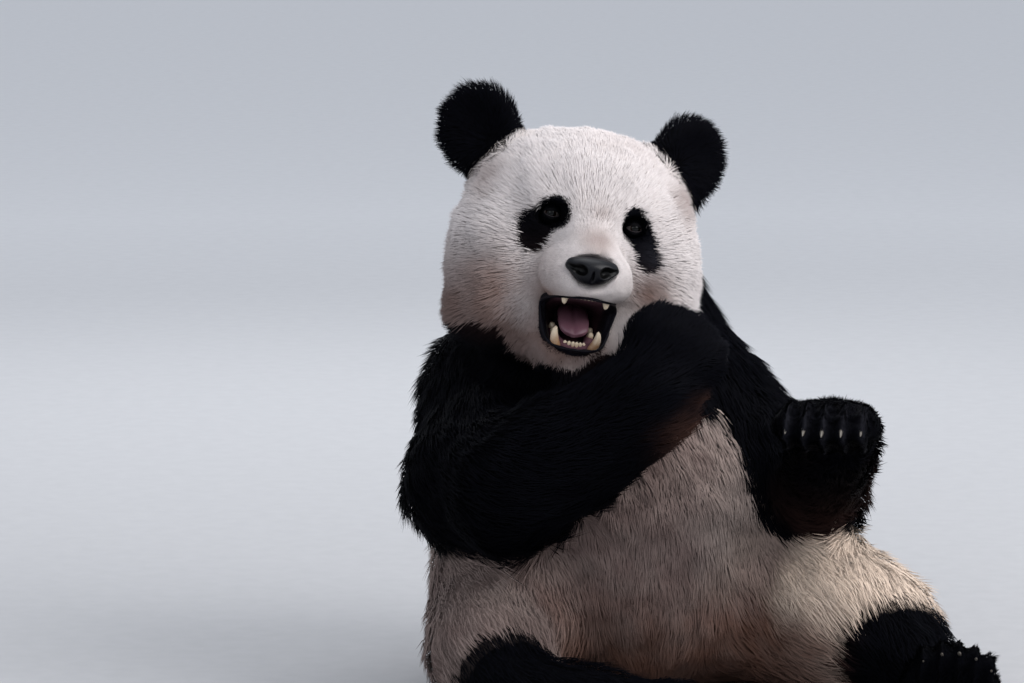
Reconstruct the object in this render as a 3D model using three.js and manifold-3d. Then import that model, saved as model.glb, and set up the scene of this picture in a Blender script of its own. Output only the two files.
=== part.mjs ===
// A life-size giant panda. It sits on its rump with the mouth open, the right forepaw raised
// to the chin, the left forepaw held out over the left knee, and the right shin folded in front.
//
// Millimetres, +Z up. The panda faces -Y, so its own left side lies on +X, and Z = 0 is the floor.
// The outer surface, at the tips of the coat, is one field: smooth unions of ellipsoids and
// tapered limbs. Each named part is the stretch of that surface that lies nearest to its own
// shapes, and a thin gap parts it from its neighbours.

import * as THREE from "three";
import { mergeVertices } from "three/addons/utils/BufferGeometryUtils.js";
import Module from "manifold-3d";

const wasm = await Module();
wasm.setup();

// ---------------------------------------------------------------- driving dimensions

const EYE_HALF_SPACING = 60; // from the face's midline to the middle of an eye
const EYE_RADIUS = 12;
const HEAD_HALF_WIDTH = 178; // over the cheek ruff
const HEAD_TOP = 127; // crown above the eyes
const NOSE_REACH = 101; // nose tip ahead of the eyes
const NOSE_DROP = 64; // nose below the eyes
const EAR_RADIUS = 63;
const JAW_OPEN = 26; // degrees
const PAW_HALF_WIDTH = 68;
const TOE_PITCH = 25;
const CLAW_LENGTH = 30;
const GAP = 1; // between neighbouring parts

const HEAD_YAW = 8.5; // degrees, towards the panda's left
const HEAD_ROLL = 9.4; // degrees, left ear down
const HEAD_PITCH = 4; // degrees, nose up

// How widely neighbouring shapes melt into one another.
const BLENDS = {
  trunk: 75,
  skull: 28,
  jaw: 22,
  arm: 26,
  leg: 30,
  tail: 20,
  jawToSkull: 20,
  earToSkull: 16,
  headToTrunk: 46,
  tailToTrunk: 36,
  legToTrunk: 42,
  armToTrunk: 26,
};

// Joint centres of the skeleton, before the whole figure is moved onto its origin.
const JOINTS = {
  faceCentre: [-70, -190, 688],
  neckTop: [-70, -50, 640],
  neckBase: [-45, 70, 525],
  chest: [-35, 25, 400],
  belly: [5, -15, 245],
  pelvis: [25, 70, 165],
  tailRoot: [25, 226, 66],
  tailTip: [25, 288, 46],
  shoulderRight: [-208, 20, 414],
  elbowRight: [-180, -240, 326],
  wristRight: [2, -318, 455],
  pawRight: [38, -305, 520],
  shoulderLeft: [122, 20, 396],
  elbowLeft: [242, -150, 304],
  wristLeft: [268, -335, 405],
  pawLeft: [246, -400, 438],
  hipRight: [-152, 10, 168],
  kneeRight: [-206, -250, 96],
  shinRight: [-195, -325, 64],
  ankleRight: [-45, -398, 54],
  footRight: [12, -425, 45],
  hipLeft: [150, 30, 142],
  kneeLeft: [276, -185, 134],
  shinLeft: [338, -190, 112],
  ankleLeft: [398, -345, 58],
  footLeft: [412, -398, 68],
};

const FUR_BLACK = { color: 0x0c0c10, roughness: 0.85, metalness: 0 };
const FUR_WHITE = { color: 0xcfc4be, roughness: 0.9, metalness: 0 };
const FUR_DUSTY = { color: 0x8a7a70, roughness: 0.9, metalness: 0 };
const NOSE_LEATHER = { color: 0x15161b, roughness: 0.45, metalness: 0 };
const EYE_DARK = { color: 0x140e0b, roughness: 0.1, metalness: 0 };
const TONGUE_PINK = { color: 0x8d5563, roughness: 0.45, metalness: 0 };
const CLAW_HORN = { color: 0x9b9284, roughness: 0.5, metalness: 0 };

// ---------------------------------------------------------------- small vector helpers

const radians = THREE.MathUtils.degToRad;
const add = (a, b, share = 1) => a.map((value, i) => value + share * b[i]);
const dot = (a, b) => a[0] * b[0] + a[1] * b[1] + a[2] * b[2];
const between = (a, b, share) => a.map((value, i) => value + share * (b[i] - value));

function unit(v) {
  const length = Math.hypot(...v);
  return v.map((value) => value / length);
}

function cross(a, b) {
  return [
    a[1] * b[2] - a[2] * b[1],
    a[2] * b[0] - a[0] * b[2],
    a[0] * b[1] - a[1] * b[0],
  ];
}

// ---------------------------------------------------------------- shapes as distance fields

// An ellipsoid with its radii along three unit axes. Its value is close to a true distance.
function ball(centre, radii, axes = [[1, 0, 0], [0, 1, 0], [0, 0, 1]]) {
  const [cx, cy, cz] = centre;
  const [[ax, ay, az], [bx, by, bz], [dx, dy, dz]] = axes;
  const [ra, rb, rc] = radii;
  return (x, y, z) => {
    const px = x - cx;
    const py = y - cy;
    const pz = z - cz;
    const a = (px * ax + py * ay + pz * az) / ra;
    const b = (px * bx + py * by + pz * bz) / rb;
    const c = (px * dx + py * dy + pz * dz) / rc;
    const scaled = Math.sqrt(a * a + b * b + c * c);
    const slope = Math.sqrt((a / ra) ** 2 + (b / rb) ** 2 + (c / rc) ** 2);
    return slope > 1e-9 ? (scaled * (scaled - 1)) / slope : -Math.min(ra, rb, rc);
  };
}

// A limb with round ends, whose radius changes evenly from one end to the other.
function limb(from, to, fromRadius, toRadius) {
  const [fx, fy, fz] = from;
  const [dx, dy, dz] = add(to, from, -1);
  const squared = dx * dx + dy * dy + dz * dz;
  return (x, y, z) => {
    const px = x - fx;
    const py = y - fy;
    const pz = z - fz;
    const share = Math.min(1, Math.max(0, (px * dx + py * dy + pz * dz) / squared));
    const away = Math.hypot(px - share * dx, py - share * dy, pz - share * dz);
    return away - fromRadius - share * (toRadius - fromRadius);
  };
}

// Smooth union: the nearer of two distances, rounded where they differ by less than band.
function joined(a, b, band) {
  const h = Math.max(band - Math.abs(a - b), 0) / band;
  return Math.min(a, b) - h * h * band * 0.25;
}

// Smooth cut: the further of two distances, rounded over band.
const carved = (a, b, band) => -joined(-a, -b, band);

const union = (shapes, band) => (x, y, z) =>
  shapes.reduce((sofar, shape) => joined(sofar, shape(x, y, z), band), 1e4);

const nearest = (shapes) => (x, y, z) =>
  shapes.reduce((sofar, shape) => Math.min(sofar, shape(x, y, z)), 1e4);

// ---------------------------------------------------------------- head, in the face's own frame
// Origin midway between the eyes, x to the panda's left, y to the back, z up.

const HINGE = [0, 85, -60]; // the jaw's pivot

const faceFrame = new THREE.Matrix4()
  .makeTranslation(...JOINTS.faceCentre)
  .multiply(new THREE.Matrix4().makeRotationZ(radians(HEAD_YAW)))
  .multiply(new THREE.Matrix4().makeRotationY(radians(HEAD_ROLL)))
  .multiply(new THREE.Matrix4().makeRotationX(radians(-HEAD_PITCH)));
const toFace = faceFrame.clone().invert().elements;

const inWorld = (point) => new THREE.Vector3(...point).applyMatrix4(faceFrame).toArray();

// Runs a field written in the face's frame on points of the whole figure.
const onFace = (field) => (x, y, z) =>
  field(
    toFace[0] * x + toFace[4] * y + toFace[8] * z + toFace[12],
    toFace[1] * x + toFace[5] * y + toFace[9] * z + toFace[13],
    toFace[2] * x + toFace[6] * y + toFace[10] * z + toFace[14],
  );

// A point of the closed lower jaw, turned open about the hinge.
function opened([x, y, z], angle = radians(JAW_OPEN)) {
  const dy = y - HINGE[1];
  const dz = z - HINGE[2];
  return [
    x,
    HINGE[1] + dy * Math.cos(angle) - dz * Math.sin(angle),
    HINGE[2] + dy * Math.sin(angle) + dz * Math.cos(angle),
  ];
}

const CHEEK_RADIUS = 86;
const SIDES = [-1, 1];

const headShapes = [
  ball([0, 121, HEAD_TOP - 112], [151, 136, 112]), // cranium
  ball([0, 60, 30], [96, 84, 74]), // forehead
  ...SIDES.flatMap((side) => [
    ball([side * (HEAD_HALF_WIDTH - CHEEK_RADIUS), 104, -54], [CHEEK_RADIUS, 108, 102]),
    ball([side * 84, 84, -120], [88, 92, 84]), // jowl
    ball([side * 58, 34, 22], [40, 34, 34]), // brow
  ]),
];

const muzzleShapes = [
  limb([0, 14, -4], [0, 44 - NOSE_REACH, 12 - NOSE_DROP], 38, 28), // nose bridge
  ball([0, -22, -2 - NOSE_DROP], [60, 64, 42]),
  ...SIDES.map((side) => ball([side * 28, -46, -82], [34, 37, 27])), // whisker pads
];

const jawShapes = [
  limb(opened([-17, -55, -140]), opened([17, -55, -140]), 24, 24), // chin
  limb(opened([0, -24, -144]), opened([0, 60, -132]), 32, 56), // floor of the mouth
  ...SIDES.map((side) =>
    limb(opened([side * 26, -46, -138]), opened([side * 70, 48, -118]), 25, 44),
  ),
];

const EYE_DEPTH = 6; // middle of the eyeball behind the plane of the face
const eyeCentres = SIDES.map((side) => inWorld([side * EYE_HALF_SPACING, EYE_DEPTH, 0]));

// A round ear, cupped to the front: a thick disc less a shallow dish.
function earShape(side) {
  const facing = unit([side * 0.42, -0.9, 0.1]);
  const up = unit([side * 0.38, 0, 1]);
  const across = unit(cross(facing, up));
  const axes = [across, facing, cross(across, facing)];
  const centre = [side * 149, 138, 102];
  const disc = ball(centre, [EAR_RADIUS * 0.95, 26, EAR_RADIUS * 1.06], axes);
  const dish = ball(add(centre, facing, 30), [36, 17, 40], axes);
  return onFace((x, y, z) => carved(disc(x, y, z), -dish(x, y, z), 14));
}

// ---------------------------------------------------------------- paws and claws

// A paw round its centre. forward points along the toes and dorsal out of its back.
// curl, in degrees, is how far the toes bend towards the palm, and clawLift how far
// the claws stand towards the back of the paw from the ends of the toes.
function pawOf({ centre, forward, dorsal, curl, spread = 1, depth = 36, reach = 1, clawLift = 0 }) {
  const along = unit(forward);
  const side = unit(cross(along, dorsal));
  const back = cross(side, along);
  const halfLength = 58 * reach;
  const shapes = [ball(centre, [PAW_HALF_WIDTH * spread, halfLength, depth], [side, along, back])];
  const claws = [];
  const bend = radians(curl);
  const bent = (angle) =>
    add(along.map((v) => v * Math.cos(angle)), back, -Math.sin(angle));
  for (let toe = -2; toe <= 2; toe += 1) {
    const across = toe * TOE_PITCH * spread;
    const setBack = 5 * toe * toe * reach;
    const root = add(add(centre, side, across), along, 22 * reach - setBack);
    const knuckle = add(add(root, bent(bend * 0.3), 24 * reach), back, 6);
    const tip = add(knuckle, bent(bend), 20);
    shapes.push(limb(root, knuckle, 21, 20), limb(knuckle, tip, 20, 16));
    const bed = add(tip, back, clawLift);
    claws.push({
      root: add(bed, bent(bend * 1.1), 5),
      middle: add(add(bed, bent(bend * 1.1), 5 + CLAW_LENGTH * 0.55), back, 1),
      tip: add(bed, bent(bend * 1.35), 5 + CLAW_LENGTH),
    });
  }
  return { shapes, claws };
}

const paws = {
  forepaw_right: pawOf({
    centre: JOINTS.pawRight,
    forward: [0.58, 0.3, 0.76],
    dorsal: [-0.15, -1, 0.5],
    curl: 92,
    depth: 44,
    spread: 1.04,
    reach: 0.92,
  }),
  forepaw_left: pawOf({
    centre: JOINTS.pawLeft,
    forward: [-0.16, -0.97, 0.02],
    dorsal: [0, -0.05, 1],
    curl: 14,
    depth: 37,
    clawLift: 9,
  }),
  hind_foot_right: pawOf({
    centre: JOINTS.footRight,
    forward: [0.93, -0.38, -0.02],
    dorsal: [-0.15, -0.35, 1],
    curl: 26,
    depth: 44,
    reach: 1.1,
    spread: 0.88,
  }),
  hind_foot_left: pawOf({
    centre: JOINTS.footLeft,
    forward: [0.1, -0.5, 0.85],
    dorsal: [0.1, 0.85, 0.5],
    curl: 24,
    depth: 40,
    reach: 1.15,
    spread: 0.92,
  }),
};

// ---------------------------------------------------------------- the whole outer surface

const J = JOINTS;

// Each part's own shapes, its size of grid cell, and the coat colour of its material.
// The order matters: a part is cut free before the ones that follow it.
const PARTS = {
  ear_right: { shapes: [earShape(-1)], cell: 11, fur: FUR_BLACK },
  ear_left: { shapes: [earShape(1)], cell: 11, fur: FUR_BLACK },
  lower_jaw: { shapes: jawShapes.map(onFace), cell: 12, fur: FUR_WHITE },
  muzzle: { shapes: muzzleShapes.map(onFace), cell: 11, fur: FUR_WHITE },
  head: { shapes: headShapes.map(onFace), cell: 16, fur: FUR_WHITE },
  neck: { shapes: [limb(J.neckBase, J.neckTop, 142, 138)], cell: 26, fur: FUR_WHITE },
  forepaw_right: { shapes: paws.forepaw_right.shapes, cell: 13, fur: FUR_BLACK },
  forepaw_left: { shapes: paws.forepaw_left.shapes, cell: 13, fur: FUR_BLACK },
  forearm_right: {
    shapes: [
      limb(J.elbowRight, J.wristRight, 94, 74),
      ball(between(J.elbowRight, J.wristRight, 0.4), [98, 82, 86]),
    ],
    cell: 24,
    fur: FUR_BLACK,
  },
  forearm_left: { shapes: [limb(J.elbowLeft, J.wristLeft, 72, 58)], cell: 22, fur: FUR_BLACK },
  upper_arm_right: {
    shapes: [
      limb(J.shoulderRight, J.elbowRight, 106, 96),
      ball(add(between(J.shoulderRight, J.elbowRight, 0.6), [-40, 0, -42]), [106, 126, 106]),
    ],
    cell: 24,
    fur: FUR_BLACK,
  },
  upper_arm_left: { shapes: [limb(J.shoulderLeft, J.elbowLeft, 86, 73)], cell: 24, fur: FUR_BLACK },
  hind_foot_right: { shapes: paws.hind_foot_right.shapes, cell: 13, fur: FUR_BLACK },
  hind_foot_left: { shapes: paws.hind_foot_left.shapes, cell: 13, fur: FUR_BLACK },
  shin_right: {
    shapes: [limb(J.shinRight, J.ankleRight, 66, 56)],
    cell: 22,
    fur: FUR_BLACK,
  },
  shin_left: { shapes: [limb(J.shinLeft, J.ankleLeft, 92, 60)], cell: 24, fur: FUR_BLACK },
  thigh_right: { shapes: [limb(J.hipRight, J.kneeRight, 148, 98)], cell: 28, fur: FUR_DUSTY },
  thigh_left: { shapes: [limb(J.hipLeft, J.kneeLeft, 142, 112)], cell: 28, fur: FUR_DUSTY },
  tail: { shapes: [limb(J.tailRoot, J.tailTip, 62, 44)], cell: 18, fur: FUR_WHITE },
  chest: {
    shapes: [
      ball(J.chest, [196, 180, 168]),
      ball(add(J.chest, [-4, 92, 20]), [142, 118, 134]), // withers
      ball(add(J.chest, [-40, -50, 98]), [142, 110, 80]), // throat
      ball(add(J.shoulderRight, [20, 10, 4]), [94, 104, 112]),
      ball(add(J.shoulderLeft, [-20, 10, -4]), [82, 100, 94]),
    ],
    cell: 28,
    fur: FUR_BLACK,
  },
  belly: {
    shapes: [
      ball(J.belly, [232, 224, 182]),
      ball(add(J.belly, [4, 60, 6]), [200, 186, 160]), // loins
      ball(add(J.belly, [12, -40, -95]), [176, 172, 122]), // groin
    ],
    cell: 30,
    fur: FUR_DUSTY,
  },
  rump: {
    shapes: [
      ball(J.pelvis, [206, 190, 176]),
      ball(add(J.pelvis, [0, 62, -48]), [158, 118, 122]),
    ],
    cell: 30,
    fur: FUR_WHITE,
  },
};

const namesOf = (...starts) =>
  Object.keys(PARTS).filter((name) => starts.some((start) => name.startsWith(start)));
const limbOf = (side, ...starts) =>
  namesOf(...starts).filter((name) => name.endsWith(side)).flatMap((name) => PARTS[name].shapes);
const group = (names, band) => union(names.flatMap((name) => PARTS[name].shapes), band);

const trunk = group(["chest", "belly", "rump", "neck"], BLENDS.trunk);
const skull = group(["head", "muzzle"], BLENDS.skull);
const jaw = group(["lower_jaw"], BLENDS.jaw);
const tail = group(["tail"], BLENDS.tail);
const ears = nearest([...PARTS.ear_right.shapes, ...PARTS.ear_left.shapes]);
const SIDE_NAMES = ["right", "left"];
const arms = SIDE_NAMES.map((side) =>
  union(limbOf(side, "upper_arm", "forearm", "forepaw"), BLENDS.arm),
);
const legs = SIDE_NAMES.map((side) => union(limbOf(side, "thigh", "shin", "hind"), BLENDS.leg));

function outerSurface(x, y, z) {
  let d = joined(skull(x, y, z), jaw(x, y, z), BLENDS.jawToSkull);
  d = joined(d, ears(x, y, z), BLENDS.earToSkull);
  d = joined(d, trunk(x, y, z), BLENDS.headToTrunk);
  d = joined(d, tail(x, y, z), BLENDS.tailToTrunk);
  for (const leg of legs) d = joined(d, leg(x, y, z), BLENDS.legToTrunk);
  for (const arm of arms) d = joined(d, arm(x, y, z), BLENDS.armToTrunk);
  return d;
}

// ---------------------------------------------------------------- from a field to a closed mesh

const CORNERS = [0, 1, 2, 3, 4, 5, 6, 7].map((c) => [c & 1, (c >> 1) & 1, (c >> 2) & 1]);
const EDGES = CORNERS.flatMap((_, a) =>
  [1, 2, 4].filter((bit) => !(a & bit)).map((bit) => [a, a | bit]),
);
const FACES = [1, 2, 4].flatMap((bit) =>
  [0, bit].map((base) => {
    const [p, q] = [1, 2, 4].filter((other) => other !== bit);
    return [base, base | p, base | p | q, base | q];
  }),
);

// Whether the corners of one cell that are inside, and those outside, are each in one piece,
// with no face whose corners alternate. Only then is the surface in the cell a single sheet.
function isSimple(mask) {
  for (const [a, b, c, d] of FACES) {
    const [ia, ib, ic, id] = [a, b, c, d].map((corner) => (mask >> corner) & 1);
    if (ia === ic && ib === id && ia !== ib) return false;
  }
  return [0, 1].every((state) => {
    const members = CORNERS.map((_, i) => i).filter((i) => ((mask >> i) & 1) === state);
    const reached = new Set(members.slice(0, 1));
    for (let round = 0; round < 8; round += 1)
      for (const [a, b] of EDGES)
        if (((mask >> a) & 1) === state && ((mask >> b) & 1) === state)
          if (reached.has(a) || reached.has(b)) reached.add(a).add(b);
    return reached.size === members.length;
  });
}
const SIMPLE = Array.from({ length: 256 }, (_, mask) => isSimple(mask));

// Samples a field on a grid whose outermost layer counts as outside, so that the mesh closes.
function sampled(field, low, high, cell) {
  const counts = low.map((value, i) => Math.ceil((high[i] - value) / cell) + 1);
  const [nx, ny, nz] = counts;
  const values = new Float32Array(nx * ny * nz);
  const border = new Uint8Array(values.length);
  let at = 0;
  for (let k = 0; k < nz; k += 1)
    for (let j = 0; j < ny; j += 1)
      for (let i = 0; i < nx; i += 1, at += 1) {
        const edge = [i, j, k].some((index, axis) => index === 0 || index === counts[axis] - 1);
        const value = field(low[0] + i * cell, low[1] + j * cell, low[2] + k * cell);
        border[at] = edge ? 1 : 0;
        values[at] = edge ? Math.max(value, cell * 0.5) : value || 1e-4;
      }
  return { values, border, counts, low, cell };
}

const cornerOffsets = ([nx, ny]) => CORNERS.map(([i, j, k]) => i + nx * (j + ny * k));

function forEachCell([nx, ny, nz], visit) {
  for (let k = 0; k < nz - 1; k += 1)
    for (let j = 0; j < ny - 1; j += 1)
      for (let i = 0; i < nx - 1; i += 1) visit(i, j, k, i + nx * (j + ny * k));
}

const maskAt = (values, at, offsets) =>
  offsets.reduce((mask, offset, c) => (values[at + offset] < 0 ? mask | (1 << c) : mask), 0);

// Flips the corner nearest to the surface in each cell that isn't simple, until none is left.
function settle({ values, border, counts, cell }) {
  const offsets = cornerOffsets(counts);
  for (let pass = 0; pass < 40; pass += 1) {
    let flipped = 0;
    forEachCell(counts, (i, j, k, at) => {
      if (SIMPLE[maskAt(values, at, offsets)]) return;
      const free = offsets.map((offset) => at + offset).filter((c) => !border[c]);
      const outside = free.filter((c) => values[c] >= 0);
      const choice = (pass < 20 && outside.length ? outside : free).reduce((a, b) =>
        Math.abs(values[b]) < Math.abs(values[a]) ? b : a,
      );
      values[choice] = values[choice] < 0 ? cell * 0.1 : -cell * 0.1;
      flipped += 1;
    });
    if (!flipped) return;
  }
}

// Moves a point onto the field's zero level along the steepest way.
function settled(field, point, cell) {
  const step = 0.5;
  let [x, y, z] = point;
  for (let round = 0; round < 3; round += 1) {
    const value = field(x, y, z);
    if (Math.abs(value) > cell) return [x, y, z];
    const gx = (field(x + step, y, z) - field(x - step, y, z)) / (2 * step);
    const gy = (field(x, y + step, z) - field(x, y - step, z)) / (2 * step);
    const gz = (field(x, y, z + step) - field(x, y, z - step)) / (2 * step);
    const share = Math.max(-cell, Math.min(cell, value)) / Math.max(0.2, gx * gx + gy * gy + gz * gz);
    x -= gx * share * 0.8;
    y -= gy * share * 0.8;
    z -= gz * share * 0.8;
  }
  return [x, y, z];
}

// One vertex in each cell that the surface crosses, and one quad round each crossing grid edge.
function meshOf(field, low, high, cell) {
  const grid = sampled(field, low, high, cell);
  settle(grid);
  const { values, counts } = grid;
  const offsets = cornerOffsets(counts);
  const vertexOf = new Int32Array(values.length).fill(-1);
  const vertices = [];
  forEachCell(counts, (i, j, k, at) => {
    const mask = maskAt(values, at, offsets);
    if (mask === 0 || mask === 255) return;
    const sum = [0, 0, 0];
    let crossings = 0;
    for (const [a, b] of EDGES) {
      const va = values[at + offsets[a]];
      const vb = values[at + offsets[b]];
      if (va < 0 === vb < 0) continue;
      const share = va / (va - vb);
      const crossing = between(CORNERS[a], CORNERS[b], share);
      crossing.forEach((value, axis) => (sum[axis] += value));
      crossings += 1;
    }
    const point = [i, j, k].map((index, axis) => low[axis] + cell * (index + sum[axis] / crossings));
    vertexOf[at] = vertices.length;
    vertices.push(settled(field, point, cell));
  });
  const triangles = [];
  const strides = [1, counts[0], counts[0] * counts[1]];
  const apart = (a, b) => Math.hypot(...add(vertices[a], vertices[b], -1));
  forEachCell(counts, (i, j, k, at) => {
    strides.forEach((stride, axis) => {
      const inside = values[at] < 0;
      if (inside === values[at + stride] < 0) return;
      const [s1, s2] = [strides[(axis + 1) % 3], strides[(axis + 2) % 3]];
      const ring = [at - s1 - s2, at - s2, at, at - s1].map((cellAt) => vertexOf[cellAt]);
      const [a, b, c, d] = inside ? ring : ring.reverse();
      if (apart(a, c) < apart(b, d)) triangles.push(a, b, c, a, c, d);
      else triangles.push(a, b, d, b, c, d);
    });
  });
  return { vertices, triangles };
}

// ---------------------------------------------------------------- fewer, larger facets

const PULL = 0.02; // how firmly a merged vertex keeps to the middle of its edge

// The sum of squared distances to a set of planes, as the ten numbers of a quadratic form.
function planeForm([a, b, c], d) {
  return [a * a, a * b, a * c, b * b, b * c, c * c, a * d, b * d, c * d, d * d];
}

function formAt([xx, xy, xz, yy, yz, zz, bx, by, bz, c], [x, y, z]) {
  const square = xx * x * x + yy * y * y + zz * z * z + 2 * (xy * x * y + xz * x * z + yz * y * z);
  return square + 2 * (bx * x + by * y + bz * z) + c;
}

// The point where a form is least, held a little to a middle point.
function lowestPoint([xx, xy, xz, yy, yz, zz, bx, by, bz], [x, y, z]) {
  const slopes = new THREE.Matrix3()
    .set(xx + PULL, xy, xz, xy, yy + PULL, yz, xz, yz, zz + PULL)
    .invert();
  return new THREE.Vector3(PULL * x - bx, PULL * y - by, PULL * z - bz)
    .applyMatrix3(slopes)
    .toArray();
}

// Merges edges of a closed mesh for as long as its faces stay within a tolerance of their planes.
function simplified({ vertices, triangles }, tolerance) {
  const points = [...vertices];
  const faces = [];
  for (let t = 0; t < triangles.length; t += 3) faces.push(triangles.slice(t, t + 3));
  const touching = points.map(() => new Set());
  faces.forEach((face, f) => face.forEach((v) => touching[v].add(f)));

  const facing = (face) => {
    const [a, b, c] = face.map((v) => points[v]);
    return unit(cross(add(b, a, -1), add(c, a, -1)));
  };
  const forms = points.map(() => new Array(10).fill(0));
  for (const face of faces) {
    const normal = facing(face);
    const form = planeForm(normal, -dot(normal, points[face[0]]));
    for (const v of face) forms[v] = add(forms[v], form);
  }
  const ring = (v) => new Set([...touching[v]].flatMap((f) => faces[f]).filter((w) => w !== v));

  // Whether the edge can go without pinching the surface or turning a face over.
  function canMerge(a, b, point) {
    const ringB = ring(b);
    if ([...ring(a)].filter((v) => ringB.has(v)).length !== 2) return false;
    const kept = [...touching[a], ...touching[b]].filter(
      (f) => !(touching[a].has(f) && touching[b].has(f)),
    );
    const before = kept.map((f) => facing(faces[f]));
    const [oldA, oldB] = [points[a], points[b]];
    points[a] = point;
    points[b] = point;
    const fine = kept.every((f, i) => dot(before[i], facing(faces[f])) > 0.6);
    points[a] = oldA;
    points[b] = oldB;
    return fine;
  }

  function merge(a, b, point) {
    for (const f of [...touching[b]])
      if (touching[a].has(f)) faces[f].forEach((v) => touching[v].delete(f));
    for (const f of touching[b]) {
      faces[f] = faces[f].map((v) => (v === b ? a : v));
      touching[a].add(f);
    }
    touching[b] = new Set();
    points[a] = point;
    forms[a] = add(forms[a], forms[b]);
  }

  for (let merged = 1; merged > 0; ) {
    merged = 0;
    const edges = [];
    touching.forEach((_, a) => {
      for (const b of ring(a)) {
        if (b < a) continue;
        const form = add(forms[a], forms[b]);
        const point = lowestPoint(form, between(points[a], points[b], 0.5));
        const error = formAt(form, point);
        if (error < tolerance * tolerance) edges.push({ a, b, point, error });
      }
    });
    edges.sort((first, second) => first.error - second.error);
    const moved = new Set();
    for (const { a, b, point } of edges) {
      if (moved.has(a) || moved.has(b) || !canMerge(a, b, point)) continue;
      for (const v of [...ring(a), ...ring(b)]) moved.add(v);
      merge(a, b, point);
      merged += 1;
    }
  }

  const used = points.map((_, v) => v).filter((v) => touching[v].size);
  const numberOf = new Map(used.map((v, i) => [v, i]));
  const alive = faces.filter((face, f) => touching[face[0]].has(f));
  return {
    vertices: used.map((v) => points[v]),
    triangles: alive.flat().map((v) => numberOf.get(v)),
  };
}

// ---------------------------------------------------------------- solids

const solidOf = ({ vertices, triangles }) =>
  new wasm.Manifold(
    new wasm.Mesh({
      numProp: 3,
      vertProperties: new Float32Array(vertices.flat()),
      triVerts: new Uint32Array(triangles),
    }),
  );

// A solid's own vertices and triangles.
function meshIn(solid) {
  const { vertProperties, triVerts, numProp } = solid.getMesh();
  const count = vertProperties.length / numProp;
  const vertices = Array.from({ length: count }, (_, i) =>
    Array.from(vertProperties.subarray(i * numProp, i * numProp + 3)),
  );
  return { vertices, triangles: Array.from(triVerts) };
}

// The same mesh with every vertex pushed out along its normal.
function swollen({ vertices, triangles }, distance) {
  const geometry = new THREE.BufferGeometry()
    .setAttribute("position", new THREE.Float32BufferAttribute(vertices.flat(), 3))
    .setIndex(triangles);
  geometry.computeVertexNormals();
  const normals = geometry.getAttribute("normal");
  return {
    triangles,
    vertices: vertices.map((vertex, i) =>
      add(vertex, [normals.getX(i), normals.getY(i), normals.getZ(i)], distance),
    ),
  };
}

// A closed three.js geometry as vertices and triangles, with its doubled vertices merged.
function meshFrom(geometry) {
  const bare = geometry.index ? geometry.toNonIndexed() : geometry.clone();
  bare.deleteAttribute("normal");
  bare.deleteAttribute("uv");
  const merged = mergeVertices(bare, 1e-3);
  const position = merged.getAttribute("position");
  const vertices = Array.from({ length: position.count }, (_, i) =>
    new THREE.Vector3().fromBufferAttribute(position, i).toArray(),
  );
  return { vertices, triangles: Array.from(merged.index.array) };
}

const biggest = (solid) =>
  solid.decompose().reduce((a, b) => (b.volume() > a.volume() ? b : a));

// The box round a part's shapes, found by sampling where they are near.
const SEARCH = { reach: 620, bottom: -60, top: 960, step: 12 };
function extentOf(shapes, [middleX, middleY]) {
  const field = nearest(shapes);
  const low = [Infinity, Infinity, Infinity];
  const high = [-Infinity, -Infinity, -Infinity];
  const { reach, bottom, top, step } = SEARCH;
  for (let z = bottom; z < top; z += step)
    for (let y = middleY - reach; y < middleY + reach; y += step)
      for (let x = middleX - reach; x < middleX + reach; x += step)
        if (field(x, y, z) < step)
          [x, y, z].forEach((value, axis) => {
            low[axis] = Math.min(low[axis], value);
            high[axis] = Math.max(high[axis], value);
          });
  return { low, high };
}

const grown = ({ low, high }, by) => [low.map((v) => v - by), high.map((v) => v + by)];

const REGION_COARSENESS = 1.5; // grid cells of a region's mesh, against the part's own
const OUTER_TOLERANCE = 0.6; // how far the outer surface may be off, as a share of a cell
const CUT_TOLERANCE = 20; // how far a cut between two parts may be off
const FINAL_TOLERANCE = 0.7; // how far the finished part may be off
const MARGIN = 34; // how far melting may push the surface out from a part's own shapes

// Cuts each part out of the outer surface, in the order of PARTS.
function partFlesh() {
  const names = Object.keys(PARTS);
  const claims = names.map((name) => nearest(PARTS[name].shapes));
  const taken = [];
  const pieces = {};
  names.forEach((name, index) => {
    const { shapes, cell } = PARTS[name];
    const extent = extentOf(shapes, J.belly);
    const rest = claims.slice(index + 1);
    const whole = meshOf(outerSurface, ...grown(extent, MARGIN + 2 * cell), cell);
    let piece = solidOf(simplified(whole, OUTER_TOLERANCE * cell));
    if (rest.length) {
      const claim = (x, y, z) => claims[index](x, y, z) - nearest(rest)(x, y, z);
      const box = grown(extent, 2 * cell);
      const region = simplified(meshOf(claim, ...box, REGION_COARSENESS * cell), CUT_TOLERANCE);
      piece = piece.intersect(solidOf(region));
      taken.push(solidOf(swollen(region, GAP)));
    }
    const earlier = rest.length ? taken.slice(0, -1) : taken;
    for (const region of earlier) piece = piece.subtract(region);
    pieces[name] = biggest(piece);
  });
  return pieces;
}

// ---------------------------------------------------------------- teeth, claws, eyes, nose, tongue

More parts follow.
